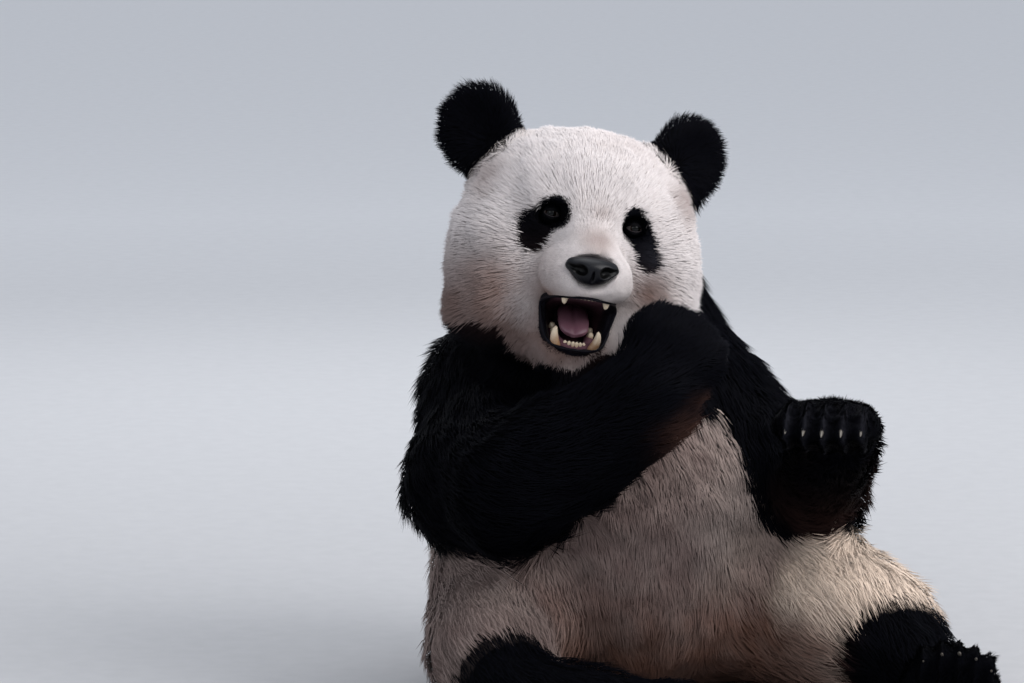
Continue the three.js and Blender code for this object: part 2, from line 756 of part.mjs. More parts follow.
// A tapering horn with an oval section, along a curve through its points. Its root and tip close.
// A roundness below 1 makes its section squarer, and grow widens and lengthens it all round.
function hornOf({
  points,
  widths,
  heights = widths,
  sides = 8,
  steps = 6,
  up = [0, 0, 1],
  roundness = 1,
  grow = 0,
}) {
  const shaped = (value) => Math.sign(value) * Math.abs(value) ** roundness;
  const beyond = (end, next) => add(end, unit(add(end, next, -1)), grow);
  const route = [
    beyond(points[0], points[1]),
    ...points.slice(1, -1),
    beyond(points.at(-1), points.at(-2)),
  ];
  const curve = new THREE.CatmullRomCurve3(route.map((p) => new THREE.Vector3(...p)));
  const sizeAt = (sizes, share) => {
    const place = share * (sizes.length - 1);
    const first = Math.min(Math.floor(place), sizes.length - 2);
    return sizes[first] + (place - first) * (sizes[first + 1] - sizes[first]) + grow;
  };
  const vertices = [];
  const triangles = [];
  for (let step = 0; step <= steps; step += 1) {
    const share = step / steps;
    const centre = curve.getPoint(share).toArray();
    const along = curve.getTangent(share).toArray();
    const across = unit(cross(along, up));
    const over = cross(across, along);
    for (let side = 0; side < sides; side += 1) {
      const angle = (2 * Math.PI * side) / sides;
      const wide = shaped(Math.cos(angle)) * sizeAt(widths, share);
      const high = shaped(Math.sin(angle)) * sizeAt(heights, share);
      vertices.push(add(add(centre, across, wide), over, high));
    }
  }
  const rootMiddle = vertices.push(curve.getPoint(0).toArray()) - 1;
  const tipMiddle = vertices.push(curve.getPoint(1).toArray()) - 1;
  const last = steps * sides;
  for (let side = 0; side < sides; side += 1) {
    const next = (side + 1) % sides;
    for (let step = 0; step < steps; step += 1) {
      const [a, b] = [step * sides + side, step * sides + next];
      triangles.push(a, b, a + sides, b, b + sides, a + sides);
    }
    triangles.push(rootMiddle, next, side, tipMiddle, last + side, last + next);
  }
  const mesh = { vertices, triangles };
  return solidOf(mesh).volume() > 0 ? mesh : { vertices, triangles: triangles.reverse() };
}

const clawOf = ({ root, middle, tip }, grow = 0) =>
  hornOf({
    points: [root, middle, tip],
    widths: [5, 3.8, 0.8],
    heights: [6.5, 5, 0.8],
    sides: 5,
    steps: 2,
    grow,
  });

// A tooth from a root in the gum to its tip, in the face's frame. flare bends its middle.
function toothOf(root, tip, rootRadius, tipRadius, flare) {
  const middle = flare ? [add(between(root, tip, 0.5), flare)] : [];
  return hornOf({
    points: [root, ...middle, tip].map(inWorld),
    widths: [rootRadius, ...middle.map(() => rootRadius * 0.85), tipRadius],
    sides: flare ? 6 : 5,
    steps: 1 + middle.length,
    up: [0, 1, 0],
  });
}

const INCISOR_PITCH = 5.6;
const incisorRow = [-2.5, -1.5, -0.5, 0.5, 1.5, 2.5].map((place) => place * INCISOR_PITCH);

const upperTeeth = [
  ...SIDES.map((side) =>
    toothOf([side * 26, -52, -92], [side * 28, -58, -122], 7.5, 1.6, [0, -2, 0]),
  ),
  ...incisorRow.map((x) => toothOf([x, -62 + 0.02 * x * x, -92], [x, -65, -112], 3.6, 2.2)),
];
const lowerTeeth = [
  ...SIDES.map((side) =>
    toothOf(opened([side * 21, -52, -128]), opened([side * 30, -63, -93]), 7.5, 1.6, [0, -3, 0]),
  ),
  ...incisorRow.map((x) =>
    toothOf(opened([x * 0.85, -60 + 0.02 * x * x, -128]), opened([x * 0.9, -63, -108]), 3.3, 2.1),
  ),
];

function tongueOf(grow = 0) {
  const line = [
    [0, 46, -128],
    [0, 28, -140],
    [0, 13, -154],
    [0, 5, -167],
  ];
  return hornOf({
    points: line.map(inWorld),
    widths: [17, 22, 21, 13],
    heights: [9, 11, 9, 4.5],
    sides: 8,
    steps: 4,
    grow,
  });
}

// The hollow of the open mouth, which widens from the throat to beyond the lips.
function mouthHollow() {
  const line = [
    [0, 62, -118],
    [0, 20, -132],
    [0, -22, -145],
    [0, -96, -150],
  ];
  return hornOf({
    points: line.map(inWorld),
    widths: [16, 36, 45, 54],
    heights: [12, 26, 36, 41],
    sides: 14,
    steps: 3,
    roundness: 0.7,
  });
}

// The cup that an eye sits in, which flares towards the front.
function socketOf(side) {
  const at = (y) => inWorld([side * EYE_HALF_SPACING, EYE_DEPTH + y, 0]);
  return hornOf({
    points: [at(15), at(-30)],
    widths: [7, 13.7, 13.9, 16, 19],
    sides: 10,
    steps: 4,
  });
}

// The nose pad: a wide rounded block, with a nostril let into each side.
const NOSE_CENTRE = [0, 14 - NOSE_REACH, -NOSE_DROP];
const nosePad = (grow) =>
  onFace(
    union(
      [
        ball(add(NOSE_CENTRE, [0, 0, 4]), [36 + grow, 19 + grow, 17 + grow]),
        ball(add(NOSE_CENTRE, [0, 2, -10]), [22 + grow, 15 + grow, 17 + grow]),
      ],
      10,
    ),
  );
const nostrils = onFace(
  nearest(SIDES.map((side) => ball(add(NOSE_CENTRE, [side * 20, -17, -2]), [8, 13, 6.5]))),
);
const NOSE_CELL = 6;
const NOSE_TOLERANCE = 2.5;
function noseOf(grow) {
  const pad = nosePad(grow);
  const middle = inWorld(NOSE_CENTRE);
  const field = grow
    ? pad
    : (x, y, z) => carved(pad(x, y, z), -nostrils(x, y, z), 3);
  const mesh = meshOf(field, add(middle, [-48, -36, -42]), add(middle, [48, 40, 40]), NOSE_CELL);
  return simplified(mesh, NOSE_TOLERANCE);
}

const eyeOf = (centre) =>
  meshFrom(new THREE.SphereGeometry(EYE_RADIUS, 10, 7).translate(...centre));

// ---------------------------------------------------------------- the scene graph

const giantPanda = new THREE.Group();
const figure = new THREE.Group(); // everything, moved so that the origin is under the middle
giantPanda.add(figure);

function place(name, solid, finish) {
  const { vertices, triangles } = meshIn(solid);
  const geometry = new THREE.BufferGeometry()
    .setAttribute("position", new THREE.Float32BufferAttribute(vertices.flat(), 3))
    .setIndex(triangles);
  geometry.computeVertexNormals();
  const mesh = new THREE.Mesh(geometry, new THREE.MeshStandardMaterial(finish));
  mesh.name = name;
  figure.add(mesh);
}

const flesh = partFlesh();
const without = (name, meshes) => {
  for (const mesh of meshes) flesh[name] = flesh[name].subtract(solidOf(mesh));
  flesh[name] = biggest(flesh[name]);
};
const withTeeth = (name, teeth) => {
  for (const tooth of teeth) flesh[name] = flesh[name].add(solidOf(tooth));
  flesh[name] = biggest(flesh[name]);
};

for (const name of ["head", "muzzle", "lower_jaw"]) without(name, [mouthHollow()]);
for (const name of ["head", "muzzle"]) without(name, SIDES.map(socketOf));
const underFloor = meshFrom(new THREE.BoxGeometry(3000, 3000, 400).translate(0, 0, -200));
Object.keys(flesh).forEach((name, index, names) => {
  const before = names.slice(0, index).map((other) => meshIn(flesh[other]));
  const round = before.map((mesh) => swollen(mesh, GAP / 3));
  flesh[name] = solidOf(simplified(meshIn(flesh[name]), FINAL_TOLERANCE));
  without(name, [underFloor, ...before, ...round]); // leaves a flat where the part meets the floor
});
for (const name of ["head", "lower_jaw", "neck"]) without(name, [tongueOf(GAP)]);
without("muzzle", [noseOf(GAP)]);
withTeeth("muzzle", upperTeeth);
withTeeth("lower_jaw", lowerTeeth);
for (const [name, { claws }] of Object.entries(paws))
  without(name, claws.map((claw) => clawOf(claw, GAP)));

for (const [name, solid] of Object.entries(flesh)) place(name, solid, PARTS[name].fur);
place("nose", solidOf(noseOf(0)), NOSE_LEATHER);
place("tongue", solidOf(tongueOf()), TONGUE_PINK);
eyeCentres.forEach((centre, i) => place(`eye_${SIDE_NAMES[i]}`, solidOf(eyeOf(centre)), EYE_DARK));
for (const [name, { claws }] of Object.entries(paws))
  claws.forEach((claw, i) => place(`claw_${name}_${i + 1}`, solidOf(clawOf(claw)), CLAW_HORN));

const box = new THREE.Box3().setFromObject(figure);
const middle = box.getCenter(new THREE.Vector3());
figure.position.set(-middle.x, -middle.y, -box.min.z);

export default giantPanda;
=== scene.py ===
"""A giant panda at life size, sitting with its mouth open, one forepaw raised and one held out.

Everything is in metres, in the frame of the solids: +Z is up, the panda faces -Y and its own left
side lies on +X. One skin lies inside the solids of flesh, and a coat of solid tufts stands on it.
Places on the face are given in the face's own frame, in millimetres: the origin is midway between
the eyes, x runs to the panda's left, y to the back and z up.
"""

import math

import bmesh
import bpy
import numpy as np
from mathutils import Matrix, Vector
from mathutils.bvhtree import BVHTree


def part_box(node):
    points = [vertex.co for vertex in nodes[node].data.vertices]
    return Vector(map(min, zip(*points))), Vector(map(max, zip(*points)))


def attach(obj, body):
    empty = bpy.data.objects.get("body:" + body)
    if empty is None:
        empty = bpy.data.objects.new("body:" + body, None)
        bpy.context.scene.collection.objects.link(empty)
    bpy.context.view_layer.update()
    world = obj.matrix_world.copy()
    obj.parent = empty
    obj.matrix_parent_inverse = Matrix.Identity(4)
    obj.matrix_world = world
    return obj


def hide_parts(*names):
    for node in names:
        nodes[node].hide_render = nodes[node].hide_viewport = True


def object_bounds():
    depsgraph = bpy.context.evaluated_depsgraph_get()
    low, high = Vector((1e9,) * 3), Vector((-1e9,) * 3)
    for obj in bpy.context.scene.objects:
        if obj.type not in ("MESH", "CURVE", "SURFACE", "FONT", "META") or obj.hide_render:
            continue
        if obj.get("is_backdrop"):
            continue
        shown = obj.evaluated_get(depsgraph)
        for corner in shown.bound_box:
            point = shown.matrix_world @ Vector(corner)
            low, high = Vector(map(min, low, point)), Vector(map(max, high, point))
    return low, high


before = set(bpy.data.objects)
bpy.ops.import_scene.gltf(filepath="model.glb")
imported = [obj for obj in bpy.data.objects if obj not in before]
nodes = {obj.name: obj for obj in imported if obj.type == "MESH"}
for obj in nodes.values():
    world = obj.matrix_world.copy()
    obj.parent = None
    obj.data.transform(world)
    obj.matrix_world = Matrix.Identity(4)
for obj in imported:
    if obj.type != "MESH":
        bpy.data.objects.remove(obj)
cad_low, cad_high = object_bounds()
random = np.random.default_rng(20)

MM = 0.001
SIDES = {"right": -1, "left": 1}
FLESH = [n for n in nodes if not n.startswith(("claw", "eye", "nose", "tongue"))]
BLACK = ("ear", "chest", "upper_arm", "forearm", "forepaw", "shin", "hind_foot")
CLAWS = [n for n in nodes if n.startswith("claw")]

# ---------------------------------------------------------------- small helpers


def unit(vectors):
    """Vectors scaled to length 1, along the last axis."""
    return vectors / np.maximum(np.linalg.norm(vectors, axis=-1, keepdims=True), 1e-12)


def ramp(values, start, end):
    """0 at start and beyond, 1 at end and beyond, and an even S-curve between them."""
    share = np.clip((values - start) / (end - start), 0, 1)
    return share * share * (3 - 2 * share)


def turn(axis, degrees):
    """The matrix of a turn about axis 0, 1 or 2."""
    c, s = math.cos(math.radians(degrees)), math.sin(math.radians(degrees))
    matrix = np.eye(3)
    i, j = [(1, 2), (2, 0), (0, 1)][axis]
    matrix[i, i], matrix[i, j], matrix[j, i], matrix[j, j] = c, -s, s, c
    return matrix


def through(points, shares, closed=False):
    """A smooth curve through points, at shares of its length from 0 to 1, by cubic pieces whose
    slope at each point is half the step between its two neighbours."""
    points = np.asarray(points, float)
    count = len(points)
    place = np.asarray(shares, float) * (count if closed else count - 1)
    first = np.floor(place).astype(int)
    first = first % count if closed else np.clip(first, 0, count - 2)
    t = (place - np.floor(place) if closed else place - first)[..., None]
    at = [first + k for k in (-1, 0, 1, 2)]
    at = [i % count if closed else np.clip(i, 0, count - 1) for i in at]
    before, a, b, after = (points[i] for i in at)
    slope_a, slope_b = (b - before) / 2, (after - a) / 2
    return (
        a * (2 * t**3 - 3 * t**2 + 1)
        + b * (3 * t**2 - 2 * t**3)
        + slope_a * (t**3 - 2 * t**2 + t)
        + slope_b * (t**3 - t**2)
    )


def circle(count):
    """Angles evenly round a circle."""
    return np.linspace(0, 2 * math.pi, count, endpoint=False)


def taken(items, key, width, kind=np.int32):
    """What a mesh stores of its vertices, edges or faces, as one row each."""
    found = np.empty(len(items) * width, kind)
    items.foreach_get(key, found)
    return found.reshape(-1, width)


def arrays_of(obj):
    """The vertices and triangles of a mesh object."""
    mesh = obj.data
    mesh.calc_loop_triangles()
    points = taken(mesh.vertices, "co", 3, np.float32)
    return points.astype(float), taken(mesh.loop_triangles, "vertices", 3)


def tree_of(points, triangles):
    """A tree for finding the nearest place on a surface."""
    return BVHTree.FromPolygons(points.tolist(), triangles.tolist())


def mesh_object(name, points, *face_sets):
    """A smooth-shaded mesh object from points and arrays of faces with the same corner count."""
    mesh = bpy.data.meshes.new(name)
    sizes = np.concatenate([np.full(len(faces), faces.shape[1]) for faces in face_sets])
    corners = np.concatenate([faces.ravel() for faces in face_sets])
    mesh.vertices.add(len(points))
    mesh.vertices.foreach_set("co", np.asarray(points, np.float32).ravel())
    mesh.loops.add(len(corners))
    mesh.loops.foreach_set("vertex_index", corners.astype(np.int32))
    mesh.polygons.add(len(sizes))
    mesh.polygons.foreach_set("loop_start", (np.cumsum(sizes) - sizes).astype(np.int32))
    mesh.update(calc_edges=True)
    mesh.polygons.foreach_set("use_smooth", np.ones(len(sizes), bool))
    obj = bpy.data.objects.new(name, mesh)
    bpy.context.scene.collection.objects.link(obj)
    return obj


def set_values(obj, **values):
    """Stores one number for each vertex under each name."""
    for name, numbers in values.items():
        attribute = obj.data.attributes.new(name, "FLOAT", "POINT")
        attribute.data.foreach_set("value", np.asarray(numbers, np.float32).ravel())


def finished(obj, material, slot, *replaced):
    """Gives a piece its material, lets it ride, and hides the nodes that it stands for. The slot is not
    used.
    """
    obj.data.materials.clear()
    obj.data.materials.append(material)
    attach(obj, "root")
    if replaced:
        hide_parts(*replaced)
    return obj


def sheet_faces(rows, columns, wraps=False):
    """Quads between neighbouring rows and columns of a grid of points."""
    across = columns if wraps else columns - 1
    row, column = np.meshgrid(np.arange(rows - 1), np.arange(across), indexing="ij")
    a = (row * columns + column).ravel()
    b = (row * columns + (column + 1) % columns).ravel()
    return np.stack([a, b, b + columns, a + columns], axis=1)


def closed_tube(name, rings):
    """A skin over rings of points, closed by a middle point at each end, with faces outwards."""
    rows, columns = rings.shape[:2]
    points = np.concatenate([rings.reshape(-1, 3), rings[:1].mean(1), rings[-1:].mean(1)])
    around = np.arange(columns)
    after = (around + 1) % columns
    start, end = rows * columns, rows * columns + 1
    last = (rows - 1) * columns
    first_fan = np.stack([np.full(columns, start), after, around], axis=1)
    last_fan = np.stack([np.full(columns, end), last + around, last + after], axis=1)
    fans = np.concatenate([first_fan, last_fan])
    quads = sheet_faces(rows, columns, wraps=True)
    corners = points[quads]
    normals = np.cross(corners[:, 2] - corners[:, 0], corners[:, 3] - corners[:, 1])
    if (normals * (corners.mean(1) - points.mean(0))).sum() < 0:
        quads, fans = quads[:, ::-1], fans[:, ::-1]
    return mesh_object(name, points, quads, fans)


def joined_object(name, parts):
    """One mesh object made of several, which are removed. Their stored values are kept."""
    bpy.ops.object.select_all(action="DESELECT")
    for part in parts:
        part.select_set(True)
    bpy.context.view_layer.objects.active = parts[0]
    bpy.ops.object.join()
    parts[0].name = name
    parts[0].data.name = name
    return parts[0]


# ---------------------------------------------------------------- the face's own frame

HEAD_YAW = 8.5  # degrees, towards the panda's left
HEAD_ROLL = 9.4  # degrees, left ear down
HEAD_PITCH = 4  # degrees, nose up
EYE_RADIUS = 12
EYE_DEPTH = 6  # middle of the eyeball behind the plane of the face


def middle_of(name):
    """The middle of a solid's box."""
    low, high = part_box(name)
    return np.array((low + high) / 2)


face_axes = turn(2, HEAD_YAW) @ turn(1, HEAD_ROLL) @ turn(0, -HEAD_PITCH)
between_eyes = (middle_of("eye_right") + middle_of("eye_left")) / 2
face_origin = between_eyes - face_axes @ np.array([0, EYE_DEPTH * MM, 0])


def to_face(points):
    """Places of the whole frame, in the face's frame."""
    return (points - face_origin) @ face_axes / MM


def from_face(points):
    """Places of the face's frame, in the whole frame."""
    return np.asarray(points, float) * MM @ face_axes.T + face_origin


def directed(vectors):
    """Directions of the face's frame as directions of the whole."""
    return np.asarray(vectors, float) @ face_axes.T


# The hollow of the mouth: middle height, half-width and half-height at stations from back to front.
MOUTH_BACK_TO_FRONT = np.array([62, 20, -22, -96])
MOUTH_MIDDLE = np.array([-118, -132, -146, -150])
MOUTH_HALF_WIDTH = np.array([16, 40, 51, 55])
MOUTH_HALF_HEIGHT = np.array([12, 27, 37, 42])
MOUTH_SQUARENESS = 2.6  # 2 for an oval section, and more for a squarer one


def mouth_at(y):
    """The middle height and half-sizes of the mouth's hollow at a depth y."""
    tables = (MOUTH_MIDDLE, MOUTH_HALF_WIDTH, MOUTH_HALF_HEIGHT)
    return [np.interp(-y, -MOUTH_BACK_TO_FRONT, table) for table in tables]


def mouth_share(points):
    """How far points lie from the middle of the hollow, where 1 is its wall."""
    middle, wide, high = mouth_at(points[:, 1])
    across = np.abs(points[:, 0]) / wide
    up = np.abs(points[:, 2] - middle) / high
    return (across**MOUTH_SQUARENESS + up**MOUTH_SQUARENESS) ** (1 / MOUTH_SQUARENESS)


# The edge of the open mouth on the panda's left, from the middle of the upper lip to that of the
# lower. The right side mirrors it.
LIP_LINE = np.array(
    [
        (0, -76, -103), (24, -71, -105), (43, -44, -107.5), (52.5, -10, -117), (50.5, -7, -131),
        (47, -9, -146), (43, -14, -158), (38, -20, -167), (29, -27, -173.5), (15, -33, -176),
        (0, -35, -176.5),
    ]
)
FLIP = np.array([-1, 1, 1])  # from one side of the face to the other
MOUTH_CENTRE = -141  # the height round which the mouth opens
# How the wall behind the lips narrows: depths, and the wall's reach there as a share of the lips'.
WALL_DEPTHS, WALL_SHARES = (-22, 20, 62), (1, 0.76, 0.32)


def lip_loop(shares):
    """The whole edge of the mouth, from the middle of the upper lip round by the panda's left."""
    right = LIP_LINE[-2:0:-1] * FLIP
    return through(np.concatenate([LIP_LINE, right]), shares, closed=True)


lip_edge = lip_loop(np.arange(360) / 360)
lip_angles = np.arctan2(lip_edge[:, 2] - MOUTH_CENTRE, lip_edge[:, 0])
lip_reach = np.hypot(lip_edge[:, 2] - MOUTH_CENTRE, lip_edge[:, 0])


def opening_reach(angles, y):
    """How far the wall behind the lips lies from the middle of the mouth, at a depth y."""
    reach = np.interp(angles, lip_angles, lip_reach, period=2 * math.pi)
    return reach * np.interp(y, WALL_DEPTHS, WALL_SHARES)


def opening_share(points):
    """How far points lie from the middle of the opening, where 1 is its wall."""
    up = points[:, 2] - MOUTH_CENTRE
    return np.hypot(points[:, 0], up) / opening_reach(np.arctan2(up, points[:, 0]), points[:, 1])


# ---------------------------------------------------------------- the skin's shape

LIP_RAISE = 7  # how far the lower lip is lifted, and where: height, half-width and band
LIP_RAISE_HEIGHT, LIP_RAISE_WIDTH, LIP_RAISE_BAND = -186, 42, 13


def lip_raised(points):
    """The lower lip and the skin near it lifted, fading away to the sides, the chin and the throat."""
    x, y, z = points.T
    in_width = np.exp(-((x / LIP_RAISE_WIDTH) ** 4))
    in_band = np.exp(-(((z - LIP_RAISE_HEIGHT) / LIP_RAISE_BAND) ** 2))
    near_lip = in_width * in_band * ramp(y, 25, -15)
    return points + np.stack([0 * x, 0 * x, LIP_RAISE * near_lip], axis=1)


SKIN_VOXEL = 0.0066  # the length of the skin's edges, before the face and feet are made finer
FACE_REACH = 125  # how far the finer skin reaches from the nose
TOE_FINE = 0.055  # and from the middle of each claw
NOSE_TIP = np.array([0, -87, -64])


class Net:
    """The edges of a mesh, for spreading values between neighbouring vertices."""

    def __init__(self, edges, count):
        self.ends = np.concatenate([edges[:, 0], edges[:, 1]])
        self.others = np.concatenate([edges[:, 1], edges[:, 0]])
        self.count = count
        self.degree = np.maximum(np.bincount(self.ends, minlength=count), 1)

    def mean(self, values):
        """The mean of each vertex's neighbours."""
        columns = [
            np.bincount(self.ends, column[self.others], self.count) / self.degree
            for column in values.reshape(self.count, -1).T
        ]
        return np.stack(columns, axis=1).reshape(values.shape)

    def spread(self, values, rounds, share=0.5):
        """Values moved some rounds towards their neighbours' mean."""
        for _ in range(rounds):
            values = values + share * (self.mean(values) - values)
        return values

    def evened(self, points, rounds, amount):
        """Points smoothed without shrinking, by a step in and a longer step out, by amount."""
        for _ in range(rounds):
            for step in (0.5, -0.52):
                points = points + (step * amount)[:, None] * (self.mean(points) - points)
        return points


def largest_part(points, faces, edges):
    """Only the biggest connected part of a mesh. Each vertex takes the lowest number that it can
    reach along edges, and the part is the vertices that share the commonest number."""
    label = np.arange(len(points))
    while True:
        lowest = label.copy()
        np.minimum.at(lowest, edges[:, 0], label[edges[:, 1]])
        np.minimum.at(lowest, edges[:, 1], label[edges[:, 0]])
        lowest = lowest[lowest]
        if (lowest == label).all():
            break
        label = lowest
    biggest = np.bincount(label).argmax()
    kept = label == biggest
    number = np.cumsum(kept) - 1
    return points[kept], number[faces[kept[faces[:, 0]]]]


def flesh_shell():
    """One closed shell over all the solids of flesh, with the gaps between them closed."""
    points, triangles, offset = [], [], 0
    for name in FLESH:
        node_points, node_triangles = arrays_of(nodes[name])
        points.append(node_points)
        triangles.append(node_triangles + offset)
        offset += len(node_points)
    shell = mesh_object("shell", np.concatenate(points), np.concatenate(triangles))
    remesh = shell.modifiers.new("close", "REMESH")
    remesh.mode = "VOXEL"
    remesh.voxel_size = SKIN_VOXEL
    mesh = bpy.data.meshes.new_from_object(shell.evaluated_get(bpy.context.evaluated_depsgraph_get()))
    bpy.data.objects.remove(shell)
    points = taken(mesh.vertices, "co", 3, np.float32).astype(float)
    faces = taken(mesh.polygons, "vertices", 4)
    return largest_part(points, faces, taken(mesh.edges, "vertices", 2))


def refined(points, faces, wanted):
    """A mesh whose edges are halved where both their ends are wanted. Returns its object."""
    obj = mesh_object("skin", points, faces)
    shape = bmesh.new()
    shape.from_mesh(obj.data)
    chosen = [edge for edge in shape.edges if all(wanted[end.index] for end in edge.verts)]
    bmesh.ops.subdivide_edges(shape, edges=chosen, cuts=1, use_grid_fill=True)
    bmesh.ops.triangulate(shape, faces=[face for face in shape.faces if len(face.verts) > 4])
    shape.to_mesh(obj.data)
    shape.free()
    return obj


def facings(points, triangles):
    """The normal of each triangle, as long as twice its area: the cross product of two edges."""
    corners = points[triangles]
    return np.cross(corners[:, 1] - corners[:, 0], corners[:, 2] - corners[:, 0])


def normals_at(points, triangles):
    """Unit normals at the vertices, from the triangles round them."""
    facing = facings(points, triangles)
    total = [
        sum(np.bincount(triangles[:, c], facing[:, k], len(points)) for c in range(3))
        for k in range(3)
    ]
    return unit(np.stack(total, axis=1))


def claw_gap(points):
    """How far points lie from the middle of the nearest claw."""
    return np.min([np.linalg.norm(points - middle_of(n), axis=1) for n in CLAWS], axis=0)


shell_points, shell_faces = flesh_shell()
near_nose = np.linalg.norm(to_face(shell_points) - NOSE_TIP, axis=1) < FACE_REACH
skin = refined(shell_points, shell_faces, near_nose | (claw_gap(shell_points) < TOE_FINE))
outer, triangles = arrays_of(skin)
net = Net(taken(skin.data.edges, "vertices", 2), len(outer))
trees = {name: tree_of(*arrays_of(nodes[name])) for name in FLESH}
FAR = 0.08  # distances to the solids aren't told apart beyond this
TOUCHING = 0.006  # a place this near to a solid counts as on it


def distances(points):
    """The distance from each point to each solid of flesh, up to FAR."""
    rows = [Vector(p) for p in points]
    found = {}
    for name, tree in trees.items():
        hits = (tree.find_nearest(p, FAR)[3] for p in rows)
        found[name] = np.array([FAR if d is None else d for d in hits])
    return found


near = distances(outer)

STYLES = {
    # the coat's depth, its tufts' length and width in millimetres, and their lift in degrees
    "head": (8, 21, 1.1, 20),
    "muzzle": (4, 10, 0.85, 21),
    "lower_jaw": (6, 16, 1.0, 20),
    "ear": (8, 20, 1.0, 40),
    "neck": (15, 42, 1.7, 18),
    "chest": (14, 42, 1.7, 17),
    "belly": (12, 36, 1.4, 15),
    "rump": (14, 44, 1.8, 17),
    "tail": (14, 34, 1.9, 25),
    "upper_arm": (13, 40, 1.6, 17),
    "forearm": (12, 36, 1.5, 18),
    "forepaw": (6, 17, 1.1, 19),
    "thigh": (12, 38, 1.5, 16),
    "shin": (12, 34, 1.6, 17),
    "hind_foot": (6, 15, 1.1, 18),
}
SKIN_DEPTH, LENGTH, WIDTH, LIFT = range(4)


def style_of(node):
    """The coat's style over one solid of flesh."""
    return next(style for start, style in STYLES.items() if node.startswith(start))


def nearest_in(near, *starts):
    """Out of distances to all solids of flesh, that to the nearest one of these names."""
    return np.min([near[n] for n in FLESH if n.startswith(starts)], axis=0)


def nearest_of(*starts):
    """The distance of each vertex of the skin to the nearest solid of those names."""
    return nearest_in(near, *starts)


def owned_by(near, *names):
    """Whether the nearest solid of each point is one of these."""
    nearest = np.argmin([near[n] for n in FLESH], axis=0)
    return np.isin(nearest, [FLESH.index(n) for n in names])


STYLE_BLEND = 0.014  # styles run into one another over about this distance
closeness = np.stack([np.exp(-((near[n] / STYLE_BLEND) ** 2)) for n in FLESH]) + 1e-9
closeness /= closeness.sum(0)
styles = closeness.T @ np.array([style_of(n) for n in FLESH], float)
styles = net.spread(styles, 12)

# Facets are evened out, less on the toes, ears and muzzle, so that these keep their shape.
EVENED_ALL_OVER, EVENED_ON_THE_BODY = 14, 40  # rounds
coarse = ramp(nearest_of("forepaw", "hind_foot", "ear", "muzzle", "lower_jaw"), 0.005, 0.03)
outer = net.evened(outer, EVENED_ALL_OVER, np.ones(len(outer)))
outer = net.evened(outer, EVENED_ON_THE_BODY, coarse)
on_face = to_face(outer)
of_head = nearest_of("head", "muzzle", "lower_jaw") < TOUCHING

# The mouth: the lower lip is raised, and what lies inside the opening is pushed to its wall.
MOUTH_RADIUS = 45  # about the opening's own, which makes lengths of shares
MOUTH_MARGIN = 2.5  # the skin lies this far behind the lining of the mouth
LINED_SHARE = 1.07  # skin within this share of the hollow is lining, and bears no coat
BEHIND_LIPS = 3  # from this far behind the edge of the lips
AWAY = 200  # stands for a distance on the face that is too far to matter
hollow_share = mouth_share(on_face)
on_face[of_head] = lip_raised(on_face[of_head])
share = opening_share(on_face)
before_throat = of_head & (on_face[:, 1] < MOUTH_BACK_TO_FRONT[0])
wall = 1 + MOUTH_MARGIN / MOUTH_RADIUS
pushed = before_throat & (share < wall)
centre = np.stack([0 * share, on_face[:, 1], 0 * share + MOUTH_CENTRE], axis=1)
wider = centre + (on_face - centre) * (wall / np.maximum(share, 0.05))[:, None]
on_face[pushed] = wider[pushed]
angles = np.arctan2(on_face[:, 2] - MOUTH_CENTRE, on_face[:, 0])
lips_depth = np.interp(angles, lip_angles, lip_edge[:, 1], period=2 * math.pi)
behind_lips = on_face[:, 1] > lips_depth + BEHIND_LIPS
least_share = np.minimum(hollow_share, share)
in_mouth = before_throat & (((least_share < LINED_SHARE) & behind_lips) | (share < 1.0))
mouth_gap = np.where(of_head, np.maximum(least_share - wall, 0) * MOUTH_RADIUS, AWAY)

EYE_SHIFTS = {"right": (6.0, 3.5, 3.4), "left": (2.8, 3.5, -0.7)}  # from the middles of the solids
BEHIND_CHEEKS = 60  # the eyes' surroundings end at this depth
eye_middles = {
    side: to_face(middle_of(f"eye_{side}")[None])[0] + np.array(EYE_SHIFTS[side]) for side in SIDES
}


def beside_eye(points, side):
    """How far points on the front of the face lie to the side of an eye's middle."""
    aside = np.hypot(points[:, 0] - eye_middles[side][0], points[:, 2] - eye_middles[side][2])
    return np.where(of_head & (points[:, 1] < BEHIND_CHEEKS), aside, AWAY)


eye_gap = np.minimum(beside_eye(on_face, "right"), beside_eye(on_face, "left"))
nose_gap = np.linalg.norm(on_face - NOSE_TIP, axis=1)

# Toes: near the claws the skin swells in line with each claw, and dips between them.
PAWS = [n for n in FLESH if n.startswith(("forepaw", "hind_foot"))]
TOE_HEIGHT = 0.016  # how high a toe swells
TOE_REACH = 0.009  # how far it swells to each side of its claw
TOE_LENGTH = 0.085  # how far up the paw it fades out
TOE_DIP = 0.6  # how far the skin sinks between toes, as a share of their height
outer = from_face(on_face)
swell = np.zeros(len(outer))
for paw in PAWS:
    claws = np.array([middle_of(n) for n in CLAWS if paw in n])
    row = claws[-1] - claws[0]
    along_row = (outer - claws[0]) @ row / (row @ row)
    claws_along_row = (claws - claws[0]) @ row / (row @ row)
    aside = np.abs(along_row[:, None] - claws_along_row).min(1) * np.linalg.norm(row)
    ahead = np.linalg.norm(outer - claws[0] - np.clip(along_row, 0, 1)[:, None] * row, axis=1)
    on_paw = owned_by(near, paw) * ramp(ahead, TOE_LENGTH, 0.018)
    swell += TOE_HEIGHT * on_paw * (np.exp(-((aside / TOE_REACH) ** 2)) - TOE_DIP)

